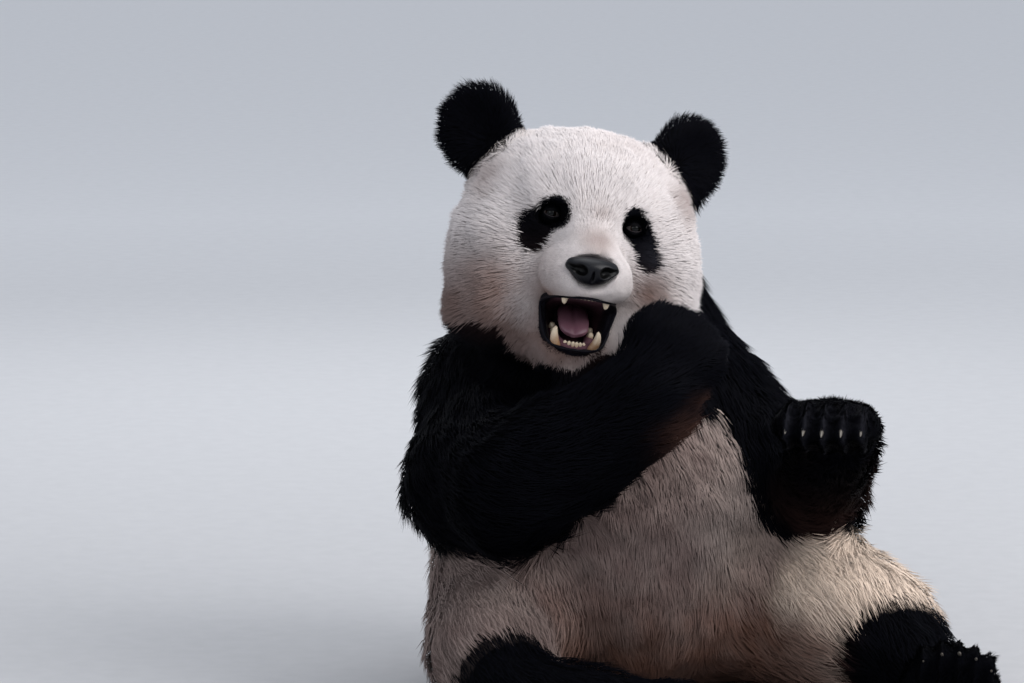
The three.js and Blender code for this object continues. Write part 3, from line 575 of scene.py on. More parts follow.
# The outside of the raised arm is filled out a little above the elbow.
ABOVE_ELBOW = np.array([-0.37, 0.03, 0.385])
ELBOW_FILL, ELBOW_REACH = 0.015, 0.042
above_elbow = np.linalg.norm(outer - ABOVE_ELBOW, axis=1) / ELBOW_REACH
filled = ELBOW_FILL * np.exp(-(above_elbow**2)) * owned_by(near, "upper_arm_right")
raised = net.spread(swell, 1) + net.spread(filled, 4)
outer = outer + normals_at(outer, triangles) * raised[:, None]
on_face = to_face(outer)

# Behind each eye the skin sinks, and the lids take its place.
SOCKET_FLOOR, SOCKET_MOUTH = 8, 14  # how far from the eye's middle its floor and its edge reach
SOCKET_BEHIND, SOCKET_RISE = 4, 14  # its floor lies behind the middle, and its edge before the floor
for side, centre in eye_middles.items():
    aside = beside_eye(on_face, side)
    sunk = aside < SOCKET_MOUTH
    rise = SOCKET_RISE * ramp(aside, SOCKET_FLOOR, SOCKET_MOUTH)
    floor = centre[1] + SOCKET_BEHIND - rise
    on_face[sunk, 1] = np.maximum(on_face[sunk, 1], floor[sunk])

RUFF = (-160, 80, -162)  # the corner of the right cheek, where the coat is long
RUFF_REACH = (26, 60, 30)
SKIN_OVER_FLOOR = 0.001


def gathered(points, centre, reach):
    """1 at a place on the face and 0 a few reaches from it."""
    return np.exp(-(((points - np.array(centre)) / np.array(reach)) ** 2).sum(1))


# The coat is short at the mouth, eyes, nose, ear roots and claws, as a share of its style's length.
shortness = (
    (0.3 + 0.7 * ramp(mouth_gap, 3, 45))
    * (0.35 + 0.65 * ramp(eye_gap, 16, 48))
    * (0.35 + 0.65 * ramp(nose_gap, 36, 90))
)
by_ear_root = (nearest_of("ear") < TOUCHING) * ramp(near["head"], 0.022, 0.0)
off_claws = ramp(claw_gap(outer), 0.012, 0.034)
shortness = shortness * (1 - 0.65 * by_ear_root) * (0.45 + 0.55 * off_claws)
ruff = gathered(on_face, RUFF, RUFF_REACH) * (nearest_of("head") < 0.01)
depth = styles[:, SKIN_DEPTH] * shortness * ~in_mouth * (1 - ruff) * MM
depth = net.spread(depth, 6)
depth[in_mouth] = 0
outer = from_face(on_face)
normals = normals_at(outer, triangles)
points = outer - normals * depth[:, None]
points = net.evened(points, 3, coarse)
points[:, 2] = np.maximum(points[:, 2], SKIN_OVER_FLOOR)
skin.data.vertices.foreach_set("co", points.astype(np.float32).ravel())
skin.data.update()
normals = normals_at(points, triangles)
on_face = to_face(points)

# ---------------------------------------------------------------- markings

BLACK_BEYOND_KNEE = {"right": 0.01, "left": 0.05}  # where the black of each leg begins


def meeting(a, b):
    """The middle of where one solid of flesh meets another."""
    node_points = arrays_of(nodes[a])[0]
    gaps = np.array([trees[b].find_nearest(Vector(p))[3] for p in node_points])
    return node_points[gaps < max(0.008, gaps.min() + 0.002)].mean(0)


def claws_middle(paw):
    """The middle of a paw's claws."""
    return np.mean([middle_of(n) for n in CLAWS if paw in n], axis=0)


limb_lines = {}
for side in SIDES:
    limb_lines[f"arm_{side}"] = [
        meeting(f"upper_arm_{side}", "chest"),
        meeting(f"upper_arm_{side}", f"forearm_{side}"),
        meeting(f"forearm_{side}", f"forepaw_{side}"),
        claws_middle(f"forepaw_{side}"),
    ]
    limb_lines[f"leg_{side}"] = [
        meeting(f"thigh_{side}", "rump"),
        meeting(f"thigh_{side}", f"shin_{side}"),
        meeting(f"shin_{side}", f"hind_foot_{side}"),
        claws_middle(f"hind_foot_{side}"),
    ]

# Each dark eye patch runs through four circles on the face: (across, up, radius).
EYE_PATCHES = {
    "right": ((-50, 13, 17), (-60, -2, 20), (-74, -14, 23.5), (-77, -32, 22)),
    "left": ((60, 13, 16.5), (67, -3, 18.5), (82, -22, 18.5), (89, -41, 18)),
}
EYE_BLACK = {"right": 22, "left": 19}  # no white tuft grows nearer to the eye's middle
COLLAR_HEIGHT = 0.595  # below this, the neck is black
# The height on the face under which the head is black, from the panda's right to its left.
JAW_LINE = (
    (-171, -149, -134, -120, -98, -88, -68, -52, -30, 8, 22, 36, 60, 171),
    (-170, -166, -157, -161, -165, -178, -190, -202, -203, -206, -190, -179, -174, -174),
)
WHITE = ("head", "muzzle", "lower_jaw", "neck", "belly", "rump", "tail", "thigh")
NEAR_THROAT = (
    "head", "lower_jaw", "neck", "chest", "upper_arm_right", "upper_arm_left", "forearm_right",
)
FACE_BACK = 90  # the eye patches lie before this depth
KNEE_STEP = 20  # steps along a leg's line to the knee, out of three times as many


def border_at(points, near):
    """How far inside the black markings points lie, in metres, and below 0 in the white. It is the
    distance to the white solids less that to the black ones, and over it come the eye patches, the
    distance along the leg past the knee, the collar's height and the line under the jaw."""
    on_face = to_face(points)
    border = nearest_in(near, *WHITE) - nearest_in(near, *BLACK)
    for circles in EYE_PATCHES.values():
        for first, second in zip(circles, circles[1:]):
            start, end = np.array(first), np.array(second)
            line = end[:2] - start[:2]
            offset = on_face[:, [0, 2]] - start[:2]
            share = np.clip(offset @ line / (line @ line), 0, 1)
            gap = np.linalg.norm(offset - share[:, None] * line, axis=1)
            patch = (start[2] + share * (end[2] - start[2]) - gap) * MM
            on_front = of_head & (on_face[:, 1] < FACE_BACK)
            border = np.where(on_front, np.maximum(border, patch), border)
    for side in SIDES:
        line = through(limb_lines[f"leg_{side}"], np.linspace(0, 1, 3 * KNEE_STEP + 1))
        steps = np.linalg.norm(np.diff(line, axis=0), axis=1)
        arc = np.concatenate([[0], np.cumsum(steps)])
        nearest = ((points[:, None] - line[None]) ** 2).sum(2).argmin(1)
        beyond = arc[nearest] - arc[KNEE_STEP] - BLACK_BEYOND_KNEE[side]
        border = np.where(owned_by(near, f"thigh_{side}", f"shin_{side}"), beyond, border)
    collar = COLLAR_HEIGHT - points[:, 2]
    border = np.where(owned_by(near, "neck", "chest"), np.maximum(border, collar), border)
    throat = (np.interp(on_face[:, 0], *JAW_LINE) - on_face[:, 2]) * MM
    return np.where(owned_by(near, *NEAR_THROAT), np.maximum(border, throat), border)


# Stained places on the face: how strong, the middle, and how far each reaches across, back and up.
RUSTY_PLACES = {
    "right cheek": (0.75, (-112, 0, -104), (40, 70, 46)),
    "left cheek": (0.5, (100, 0, -90), (34, 70, 36)),
    "bridge of the nose": (0.6, (2, -60, -27), (20, 45, 17)),
    "right of the muzzle": (0.55, (-50, -20, -95), (15, 60, 45)),
    "crown": (0.25, (40, 60, 110), (60, 60, 40)),
    "right ear's root": (0.6, (-150, 50, 52), (28, 44, 34)),
    "left ear's root": (0.5, (144, 46, 50), (26, 44, 34)),
    "between the eyes": (0.3, (9, -20, 8), (13, 30, 6)),
}
DUSTY_PLACES = {
    "under the left eye": (0.95, (88, 0, -85), (28, 70, 30)),
    "right of the muzzle": (0.6, (-52, -25, -96), (17, 50, 28)),
    "bridge of the nose": (0.45, (2, -60, -27), (22, 45, 19)),
    "between the eyes": (0.45, (9, -20, 8), (12, 30, 5)),
    "right ear's root": (1.0, (-150, 50, 52), (28, 44, 34)),
    "left ear's root": (0.9, (144, 46, 50), (26, 44, 34)),
}


def stained(places):
    """The sum of some stained places, each strongest at its middle."""
    return sum(amount * gathered(on_face, middle, reach) for amount, middle, reach in places.values())


def beside(*names):
    """1 on these solids and 0 from 30 mm off them."""
    return ramp(nearest_of(*names), 0.03, TOUCHING)


border = border_at(points, near)
x, y, z = points.T
face_x, face_z = on_face[:, 0], on_face[:, 2]
downward = ramp(-normals[:, 2], 0.0, 0.7)
in_front = ramp(y, middle_of("belly")[1] + 0.06, middle_of("belly")[1] - 0.04)
low_belly = ~of_head * ramp(nearest_of("belly"), 0.07, 0.015) * ramp(z, 0.25, 0.07) * in_front
inner_thigh = beside("thigh_left") * ramp(x, 0.24, 0.12) * ramp(z, 0.19, 0.10)
inner_thigh = inner_thigh * ramp(border, 0.004, -0.012)
left_forearm = owned_by(near, "forearm_left")
fringe = ramp(x, 0.22, 0.25) * ramp(z, 0.26, 0.29) * ramp(z, 0.40, 0.34)
fringe = net.spread(fringe * owned_by(near, "forearm_left", "forepaw_left"), 5)
# Rust-brown stains, and painted light: the brown on the black hair at the outer edge of the lowered
# forearm and under the raised forearm stands for hair lit from behind.
rust_and_edge_light = (
    of_head * (stained(RUSTY_PLACES) + 0.3 * np.exp(-((mouth_gap / 10) ** 2)))
    + low_belly
    + 0.9 * inner_thigh
    + fringe
    + 0.35 * left_forearm * ramp(z, 0.36, 0.26)
    + 0.9 * left_forearm * ramp(x, 0.225, 0.27) * ramp(z, 0.41, 0.35)
    + owned_by(near, "forearm_right") * ramp(x, -0.10, -0.02) * downward
)
rust_and_edge_light = np.clip(net.spread(rust_and_edge_light, 3), 0, 1)
# The belly's dust is partly painted shade: it is heavier at the front, in the shade of the arms, and
# lighter on the sunlit upper left of the belly.
sunlit = ramp(x, -0.04, 0.05) * ramp(z, 0.14, 0.22)
belly_dust_and_shade = (0.2 + 0.8 * in_front) * (1 - 0.22 * sunlit)
# The lower jaw and the lower right cheek are darker, partly by real dust and partly by painted shade,
# where the face turns away from the light.
face_dust_and_shade = (
    ramp(face_z, -115, -172) * ramp(face_x, 60, -30)
    + 0.6 * ramp(face_z, -120, -180) * ramp(face_x, -30, 60)
    + 0.75 * ramp(face_x, -60, -130) * ramp(face_z, -10, -120)
    + stained(DUSTY_PLACES)
    + 0.12
)
# Dust and painted shade together; it is also heavier on the right thigh, most at its front, and low on
# the left thigh.
dust_and_shade = (
    of_head * face_dust_and_shade
    + ~of_head * ramp(nearest_of("belly"), 0.045, 0.01) * belly_dust_and_shade
    + 0.5 * inner_thigh
    + 0.2 * (nearest_of("rump", "neck") < TOUCHING)
    + (0.25 + 0.7 * in_front) * beside("thigh_right", "shin_right")
    + (0.13 + 0.3 * ramp(z, 0.19, 0.11)) * beside("thigh_left", "shin_left")
)
dust_and_shade = np.clip(net.spread(dust_and_shade, 14), 0, 1)
# A painted sheen: paler black on the tops of the toes, and faintly on the forepaws and the raised
# forearm, where the hair catches the light. At the bottom of the left eye patch the black is greyer of
# its own.
on_toes = ramp(swell, 0.0, 0.35 * TOE_HEIGHT) * (nearest_of("forepaw") < TOUCHING)
painted_sheen_and_grey_patch = 0.9 * on_toes + 0.04 * owned_by(near, "forepaw_right", "forearm_right", "forepaw_left")
painted_sheen_and_grey_patch = painted_sheen_and_grey_patch + of_head * 0.8 * gathered(on_face, (86, 0, -36), (18, 60, 18))
painted_sheen_and_grey_patch = np.clip(net.spread(painted_sheen_and_grey_patch, 3), 0, 1)
cream = 0.35 * ~of_head + 0.45 * ramp(nearest_of("thigh_left", "shin_left"), 0.12, 0.0) * ~of_head
cream = np.clip(net.spread(cream, 20), 0, 1)
stains_and_painted_light = {"rust_and_edge_light": rust_and_edge_light, "dust_and_shade": dust_and_shade, "cream": cream, "painted_sheen_and_grey_patch": painted_sheen_and_grey_patch}

# ---------------------------------------------------------------- the lie of the coat

DROOP = 0.35  # how much the coat hangs, against how much it follows the body
EAR_DROOP, FACE_DROOP = 0.35, 0.12
LINE_BLUR = 0.05  # how far along a limb's line the coat's way is averaged
LINE_REACH = 0.03  # how far from its solids a line is heeded
SPRING = np.array([0, -118, -52])  # the coat of the face runs away from here, just off the nose


def flow_samples():
    """Places on the middle lines of the trunk and limbs, the way the coat runs there, and which
    solids each line speaks for."""
    head, chest, belly = (middle_of(n) for n in ("head", "chest", "belly"))
    rump, tail = middle_of("rump"), middle_of("tail")
    lines = [
        ([head, middle_of("neck"), chest, belly], ("neck", "chest")),
        ([chest, belly, belly + np.array([0, -0.05, -0.2])], ("belly",)),
        ([chest, middle_of("belly"), rump, tail], ("rump",)),
        ([rump, tail, tail + np.array([0, 0.08, -0.03])], ("tail",)),
    ]
    for side in SIDES:
        arm, leg = limb_lines[f"arm_{side}"], limb_lines[f"leg_{side}"]
        lines.append((arm, tuple(f"{n}_{side}" for n in ("upper_arm", "forearm", "forepaw"))))
        lines.append((leg, tuple(f"{n}_{side}" for n in ("thigh", "shin", "hind_foot"))))
    shares = np.linspace(0, 1, 25)
    for line, names in lines:
        places = through(line, shares)
        yield places, unit(np.gradient(places, axis=0)), nearest_of(*names)


flow = np.zeros_like(points)
for places, ways, reach in flow_samples():
    apart = ((points[:, None, :] - places[None]) ** 2).sum(2)
    pull = 1 / (apart + LINE_BLUR**2) ** 1.5
    strength = np.exp(-((reach / LINE_REACH) ** 2))[:, None]
    flow += strength * unit(pull @ ways)
flow += np.array([0, 0, -DROOP])
face_flow = unit(directed(on_face - SPRING)) + np.array([0, 0, -FACE_DROOP])
for ear in ("ear_right", "ear_left"):
    ear_flow = unit(points - meeting(ear, "head")) + np.array([0, 0, -EAR_DROOP])
    flow = np.where((near[ear] < TOUCHING)[:, None], ear_flow, flow)
head_share = ramp(nearest_of("head", "muzzle", "lower_jaw"), 0.03, 0.0)[:, None]
in_ear = (nearest_of("ear") < TOUCHING)[:, None]
flow = np.where(in_ear, flow, flow * (1 - head_share) + face_flow * head_share)


def along_skin(vectors):
    """Directions laid flat onto the skin."""
    return unit(vectors - (vectors * normals).sum(1, keepdims=True) * normals)


lie = along_skin(flow)
for _ in range(10):
    lie = along_skin(net.spread(lie, 1))
EDDY_ROUNDS = 7  # how widely neighbouring tufts sway together
eddies = along_skin(net.spread(random.normal(size=points.shape), EDDY_ROUNDS))
surge = net.spread(random.normal(size=len(points)), EDDY_ROUNDS)
surge /= surge.std()

# The coat is longer at the corner of the cheek and along the outer edge of the lowered forearm,
# and shorter between each eye and the nose.
before_eye = ramp(eye_gap, 36, 25) * ramp(np.abs(face_x), 66, 54)
tuft_length = styles[:, LENGTH] * shortness * (1 + 0.5 * ruff) * (1 + 0.7 * fringe) * MM
tuft_length = tuft_length * (1 - 0.5 * before_eye)

# The coat at the lips is black, and a tuft has the colour of the place it covers, ahead of its root.
UPPER_LIP, UPPER_LIP_BLACK, LOWER_LIP_BLACK = -110, 0.5, 5.5
COVERED_AHEAD = 0.55  # of a tuft's length
lip_gap = (opening_share(on_face) - 1) * opening_reach(angles, on_face[:, 1])
lip_black = np.where(on_face[:, 2] > UPPER_LIP, UPPER_LIP_BLACK, LOWER_LIP_BLACK)
lip_black = lip_black - np.where(before_throat, lip_gap, AWAY)
covered = points + lie * (COVERED_AHEAD * tuft_length)[:, None]
border_ahead = border_at(covered, distances(covered))
border_ahead = np.maximum(border_ahead, lip_black * MM)
for side, reach in EYE_BLACK.items():
    border_ahead = np.maximum(border_ahead, (reach - beside_eye(on_face, side)) * MM)

# ---------------------------------------------------------------- the skin's unwrap

skin.data.uv_layers.new(name="OFBake")
bpy.context.view_layer.objects.active = skin
bpy.ops.object.mode_set(mode="EDIT")
bpy.ops.mesh.select_all(action="SELECT")
bpy.ops.uv.smart_project(angle_limit=math.radians(66), island_margin=0.003)
bpy.ops.object.mode_set(mode="OBJECT")
triangles = arrays_of(skin)[1]
corner_places = taken(skin.data.uv_layers["OFBake"].data, "uv", 2, np.float32)
corner_places = corner_places[taken(skin.data.loop_triangles, "loops", 3)]
set_values(skin, black=ramp(border, -0.004, 0.004), lining=in_mouth, **stains_and_painted_light)

# ---------------------------------------------------------------- materials


class Finish:
    """A material under making: adds nodes, and links or sets their inputs by name or number."""

    def __init__(self, name, kind="materials"):
        self.made = getattr(bpy.data, kind).new(name)
        self.made.use_nodes = True
        self.tree = self.made.node_tree
        self.tree.nodes.clear()

    def node(self, kind, inputs, output=0, **settings):
        """One node. An input is a link where it is a socket, and otherwise a number or a colour."""
        made = self.tree.nodes.new("ShaderNode" + kind)
        for key, value in settings.items():
            setattr(made, key, value)
        for key, value in inputs.items():
            socket = made.inputs[key]
            if isinstance(value, bpy.types.NodeSocket):
                self.tree.links.new(value, socket)
            elif isinstance(value, tuple) and len(value) == 3 and socket.type == "RGBA":
                socket.default_value = (*value, 1)
            else:
                socket.default_value = value
        return made.outputs[output] if made.outputs else None

    def value(self, name):
        """A number stored on the mesh."""
        return self.node("Attribute", {}, 2, attribute_name=name)

    def mix(self, share, first, second, way="MIX"):
        """From the first colour to the second, or the first changed by the second, by a share."""
        inputs = {0: share, 6: first, 7: second}
        return self.node("Mix", inputs, 2, data_type="RGBA", blend_type=way)

    def maths(self, way, *values):
        """A sum of the named way on one or two numbers."""
        inputs = dict(enumerate(values))
        return self.node("Math", inputs, operation=way)

    def spread(self, value, low, high, to_low=0.0, to_high=1.0):
        """A value's range from low to high drawn out over another range."""
        inputs = {0: value, 1: low, 2: high, 3: to_low, 4: to_high}
        return self.node("MapRange", inputs)

    def noise(self, scale, detail=3.0, roughness=0.5):
        """Soft blotches that stay with the piece, about 1 / scale metres wide."""
        place = self.node("TexCoord", {}, 3)
        inputs = {"Vector": place, "Scale": scale, "Detail": detail, "Roughness": roughness}
        return self.node("TexNoise", inputs)

    def bump(self, height, strength, distance):
        """Normals tilted as if the surface rose by a share of distance with height."""
        inputs = {"Height": height, "Strength": strength, "Distance": distance}
        return self.node("Bump", inputs)

    def surface(self, **inputs):
        """Ends the material in one Principled shader, whose inputs are named with _ for a space."""
        named = {key.replace("_", " "): value for key, value in inputs.items()}
        shader = self.node("BsdfPrincipled", named)
        self.node("OutputMaterial", {0: shader})
        return self.made


WHITE_TIP = (0.82, 0.77, 0.765)
WHITE_ROOT = (0.70, 0.63, 0.605)
# Dust, and the painted shade on the lower face and the belly.
DUST_AND_SHADE_COLOUR = (0.185, 0.133, 0.121)
CREAM = (0.80, 0.62, 0.47)
RUSTY = (0.20, 0.105, 0.075)
BLACK_ROOT = (0.0010, 0.0010, 0.0015)
# The blue of the black tips is a painted sheen.
BLUE_SHEEN_BLACK_TIP = (0.0028, 0.0030, 0.0052)
# Brown on black: real brown in places, and painted light where the forearms' edges catch light from
# behind.
BROWN_AND_EDGE_LIT_BLACK = (0.085, 0.042, 0.032)
# Paler black: a painted sheen on the toes and paws, and the greyer end of the left eye patch.
SHEEN_AND_GREY_PATCH_BLACK = (0.020, 0.020, 0.026)


def fur_colours(finish, tip, tone):
    """The coat's colour: white or black by its markings, dusty and rusty in places, with painted shade
    in the dust, painted light on the brown edges of the black forearms and a painted sheen on the black
    toes, darker at the roots, and a little different from tuft to tuft."""
    patchy = finish.spread(finish.noise(20, 5), 0.3, 0.7)
    white = finish.mix(tip, WHITE_ROOT, WHITE_TIP)
    white = finish.mix(finish.value("cream"), white, CREAM)
    dust_and_shade = finish.maths("MULTIPLY", finish.value("dust_and_shade"), finish.spread(patchy, 0, 1, 0.9, 1.04))
    white = finish.mix(dust_and_shade, white, DUST_AND_SHADE_COLOUR)
    rust_and_edge_light = finish.maths("MULTIPLY", finish.value("rust_and_edge_light"), finish.spread(patchy, 0, 1, 0.6, 1.0))
    white = finish.mix(rust_and_edge_light, white, RUSTY)
    black = finish.mix(tip, BLACK_ROOT, BLUE_SHEEN_BLACK_TIP)
    black = finish.mix(rust_and_edge_light, black, BROWN_AND_EDGE_LIT_BLACK)
    black = finish.mix(finish.value("painted_sheen_and_grey_patch"), black, SHEEN_AND_GREY_PATCH_BLACK)
    colour = finish.mix(finish.value("black"), white, black)
    shade = finish.node("CombineXYZ", {0: tone, 1: tone, 2: tone})
    return finish.mix(1.0, colour, shade, "MULTIPLY")


def coat_finish():
    """The tufts, which differ a little in tone and grow paler towards their tips."""
    finish = Finish("coat_fur")
    tone = finish.spread(finish.value("tone"), -1, 1, 0.88, 1.08)
    colour = fur_colours(finish, finish.value("tip"), tone)
    roughness = finish.spread(finish.value("black"), 0, 1, 0.7, 0.62)
    return finish.surface(Base_Color=colour, Roughness=roughness, Specular_IOR_Level=0.02)


def skin_finish():
    """The skin under the coat, in the coat's colours, with down for a bump. It is dark in the mouth."""
    finish = Finish("furred_skin")
    down = finish.noise(420, 2)
    tone = finish.spread(down, 0.3, 0.7, 0.75, 1.0)
    colour = fur_colours(finish, 0.4, tone)
    colour = finish.mix(finish.value("lining"), colour, (0.02, 0.012, 0.016))
    bump = finish.bump(down, 0.5, 0.002)
    return finish.surface(Base_Color=colour, Roughness=0.8, Specular_IOR_Level=0.04, Normal=bump)


PUPIL_EDGE, IRIS_EDGE = (25, 28), (37, 42)  # degrees from the way the eye looks


def eye_finish():
    """Black pupil, mottled dark brown iris, and a brownish white round it."""
    finish = Finish("wet_eye")
    turn_away = finish.value("away")
    mottling = finish.spread(finish.noise(900, 2), 0.3, 0.7)
    iris = finish.mix(mottling, (0.004, 0.002, 0.001), (0.010, 0.005, 0.003))
    pupil = finish.spread(turn_away, *PUPIL_EDGE)
    colour = finish.mix(pupil, (0.001, 0.001, 0.0012), iris)
    edge = finish.spread(turn_away, *IRIS_EDGE)
    colour = finish.mix(edge, colour, (0.075, 0.062, 0.06))
    return finish.surface(Base_Color=colour, Roughness=0.05, Specular_IOR_Level=0.2)


def lid_finish():
    """Black wrinkled skin with a wet rim at the lower lid, painted paler for its glint."""
    finish = Finish("lid_skin")
    wrinkles = finish.noise(700, 3)
    colour = finish.mix(wrinkles, (0.002, 0.002, 0.0026), (0.005, 0.0045, 0.006))
    colour = finish.mix(finish.value("rim"), colour, (0.06, 0.05, 0.055))
    roughness = finish.spread(finish.value("rim"), 0, 1, 0.65, 0.25)
    bump = finish.bump(wrinkles, 0.4, 0.0006)
    return finish.surface(Base_Color=colour, Roughness=roughness, Specular_IOR_Level=0.05, Normal=bump)


def nose_finish():
    """Black leather in small wet pebbles, with painted shade in the nostrils."""
    finish = Finish("nose_leather")
    place = finish.node("TexCoord", {}, 3)
    pebbles = finish.node("TexVoronoi", {"Vector": place, "Scale": 620.0}, feature="SMOOTH_F1")
    colour = finish.mix(pebbles, (0.0042, 0.0046, 0.0075), (0.0015, 0.0015, 0.0025))
    colour = finish.mix(finish.value("hollow"), colour, (0.001, 0.001, 0.001))
    roughness = finish.spread(finish.noise(60, 2), 0.3, 0.7, 0.3, 0.45)
    bump = finish.bump(pebbles, -1.0, 0.002)
    return finish.surface(Base_Color=colour, Roughness=roughness, Specular_IOR_Level=0.2, Normal=bump)


def mouth_finish():
    """Black wet lips that turn to purple-grey lining, and painted shade that darkens it towards the
    throat.
    """
    finish = Finish("mouth_lining")
    blotches = finish.noise(90, 3)
    lip = finish.mix(blotches, (0.0025, 0.0025, 0.004), (0.009, 0.008, 0.012))
    lining = finish.mix(blotches, (0.10, 0.045, 0.062), (0.17, 0.085, 0.10))
    colour = finish.mix(finish.value("inside"), lip, lining)
    colour = finish.mix(finish.value("throat"), colour, (0.012, 0.004, 0.006))
    bump = finish.bump(finish.noise(260, 3), 0.35, 0.0012)
    return finish.surface(Base_Color=colour, Roughness=0.4, Specular_IOR_Level=0.06, Normal=bump)


def tongue_finish():
    """Dull pink with fine bumps, and painted shade that darkens it towards the throat."""
    finish = Finish("tongue")
    papillae = finish.noise(900, 2)
    base = finish.mix(finish.noise(50, 3), (0.16, 0.066, 0.095), (0.24, 0.115, 0.145))
    colour = finish.mix(finish.value("throat"), base, (0.05, 0.018, 0.028))
    bump = finish.bump(papillae, 0.35, 0.0006)
    return finish.surface(Base_Color=colour, Roughness=0.38, Normal=bump)


def tooth_finish():
    """Ivory, stained brown towards the gum, with fine cracks along the tooth."""
    finish = Finish("tooth_ivory")
    lines = finish.noise(160, 3, 0.6)
    ivory = finish.mix(lines, (0.60, 0.47, 0.33), (0.74, 0.63, 0.48))
    uneven = finish.spread(lines, 0.3, 0.6, 0.7, 1.2)
    stain = finish.maths("MULTIPLY", finish.value("gumward"), uneven)
    colour = finish.mix(stain, ivory, (0.34, 0.19, 0.10))
    return finish.surface(Base_Color=colour, Roughness=0.28, Normal=finish.bump(lines, 0.15, 0.0005))


def claw_finish():
    """Grey-brown horn with a fine grain."""
    finish = Finish("claw_horn")
    grain = finish.noise(260, 4, 0.6)
    colour = finish.mix(grain, (0.05, 0.043, 0.037), (0.17, 0.15, 0.125))
    return finish.surface(Base_Color=colour, Roughness=0.35, Normal=finish.bump(grain, 0.25, 0.0005))


def floor_finish():
    """Matt and pale, and darker round the panda, where the most light falls."""
    finish = Finish("pale_floor")
    speck = finish.spread(finish.noise(30, 4), 0.3, 0.7)
    place = finish.node("TexCoord", {}, 3)
    distance = finish.node("VectorMath", {0: place}, 1, operation="LENGTH")
    outward = finish.spread(distance, 0.5, 6.0)
    near_colour = finish.mix(speck, (0.37, 0.37, 0.38), (0.39, 0.39, 0.40))
    far_colour = finish.mix(speck, (0.79, 0.79, 0.80), (0.82, 0.82, 0.83))
    colour = finish.mix(outward, near_colour, far_colour)
    return finish.surface(Base_Color=colour, Roughness=0.9)


coat_fur = coat_finish()
claw_horn = claw_finish()

# ---------------------------------------------------------------- the coat of tufts

TUFT_WIDEST = 0.4  # where a tuft is widest, as a share of its length
TUFT_SHARES = np.array([0, TUFT_WIDEST, TUFT_WIDEST, TUFT_WIDEST, 1])
TUFT_ACROSS = np.array([0, -0.5, 0.5, 0, 0])
TUFT_FACES = np.array([(1, 2, 0), (2, 3, 0), (3, 1, 0), (1, 3, 4), (3, 2, 4), (2, 1, 4)])
TUFT_RIDGE = 0.45  # a tuft's height against its width
TUFT_BEND = 11  # degrees that a tuft's lower part lifts more than the whole, and its upper part less
SOFTNESS = 0.8  # how far a tuft's shading follows the skin instead of its own faces
PATCH = 0.003  # a tuft's size on the unwrap
SUNK = 0.0015  # a tuft's root lies this far under the skin
STRAY = 0.09  # how far single tufts stray from the lie of the coat
EDDY, FACE_EDDY = 0.17, 0.6  # how far groups of tufts do, and the share of it on the head
SWAY = 3  # degrees that groups of tufts, and single ones, differ in lift
RAGGED = 0.002  # how far single tufts cross the borders of the markings
LENGTHS, WIDTHS = (0.8, 1.15), (0.75, 1.25)  # the ranges of single tufts, as shares
TUFT_OVER_FLOOR = 0.0005


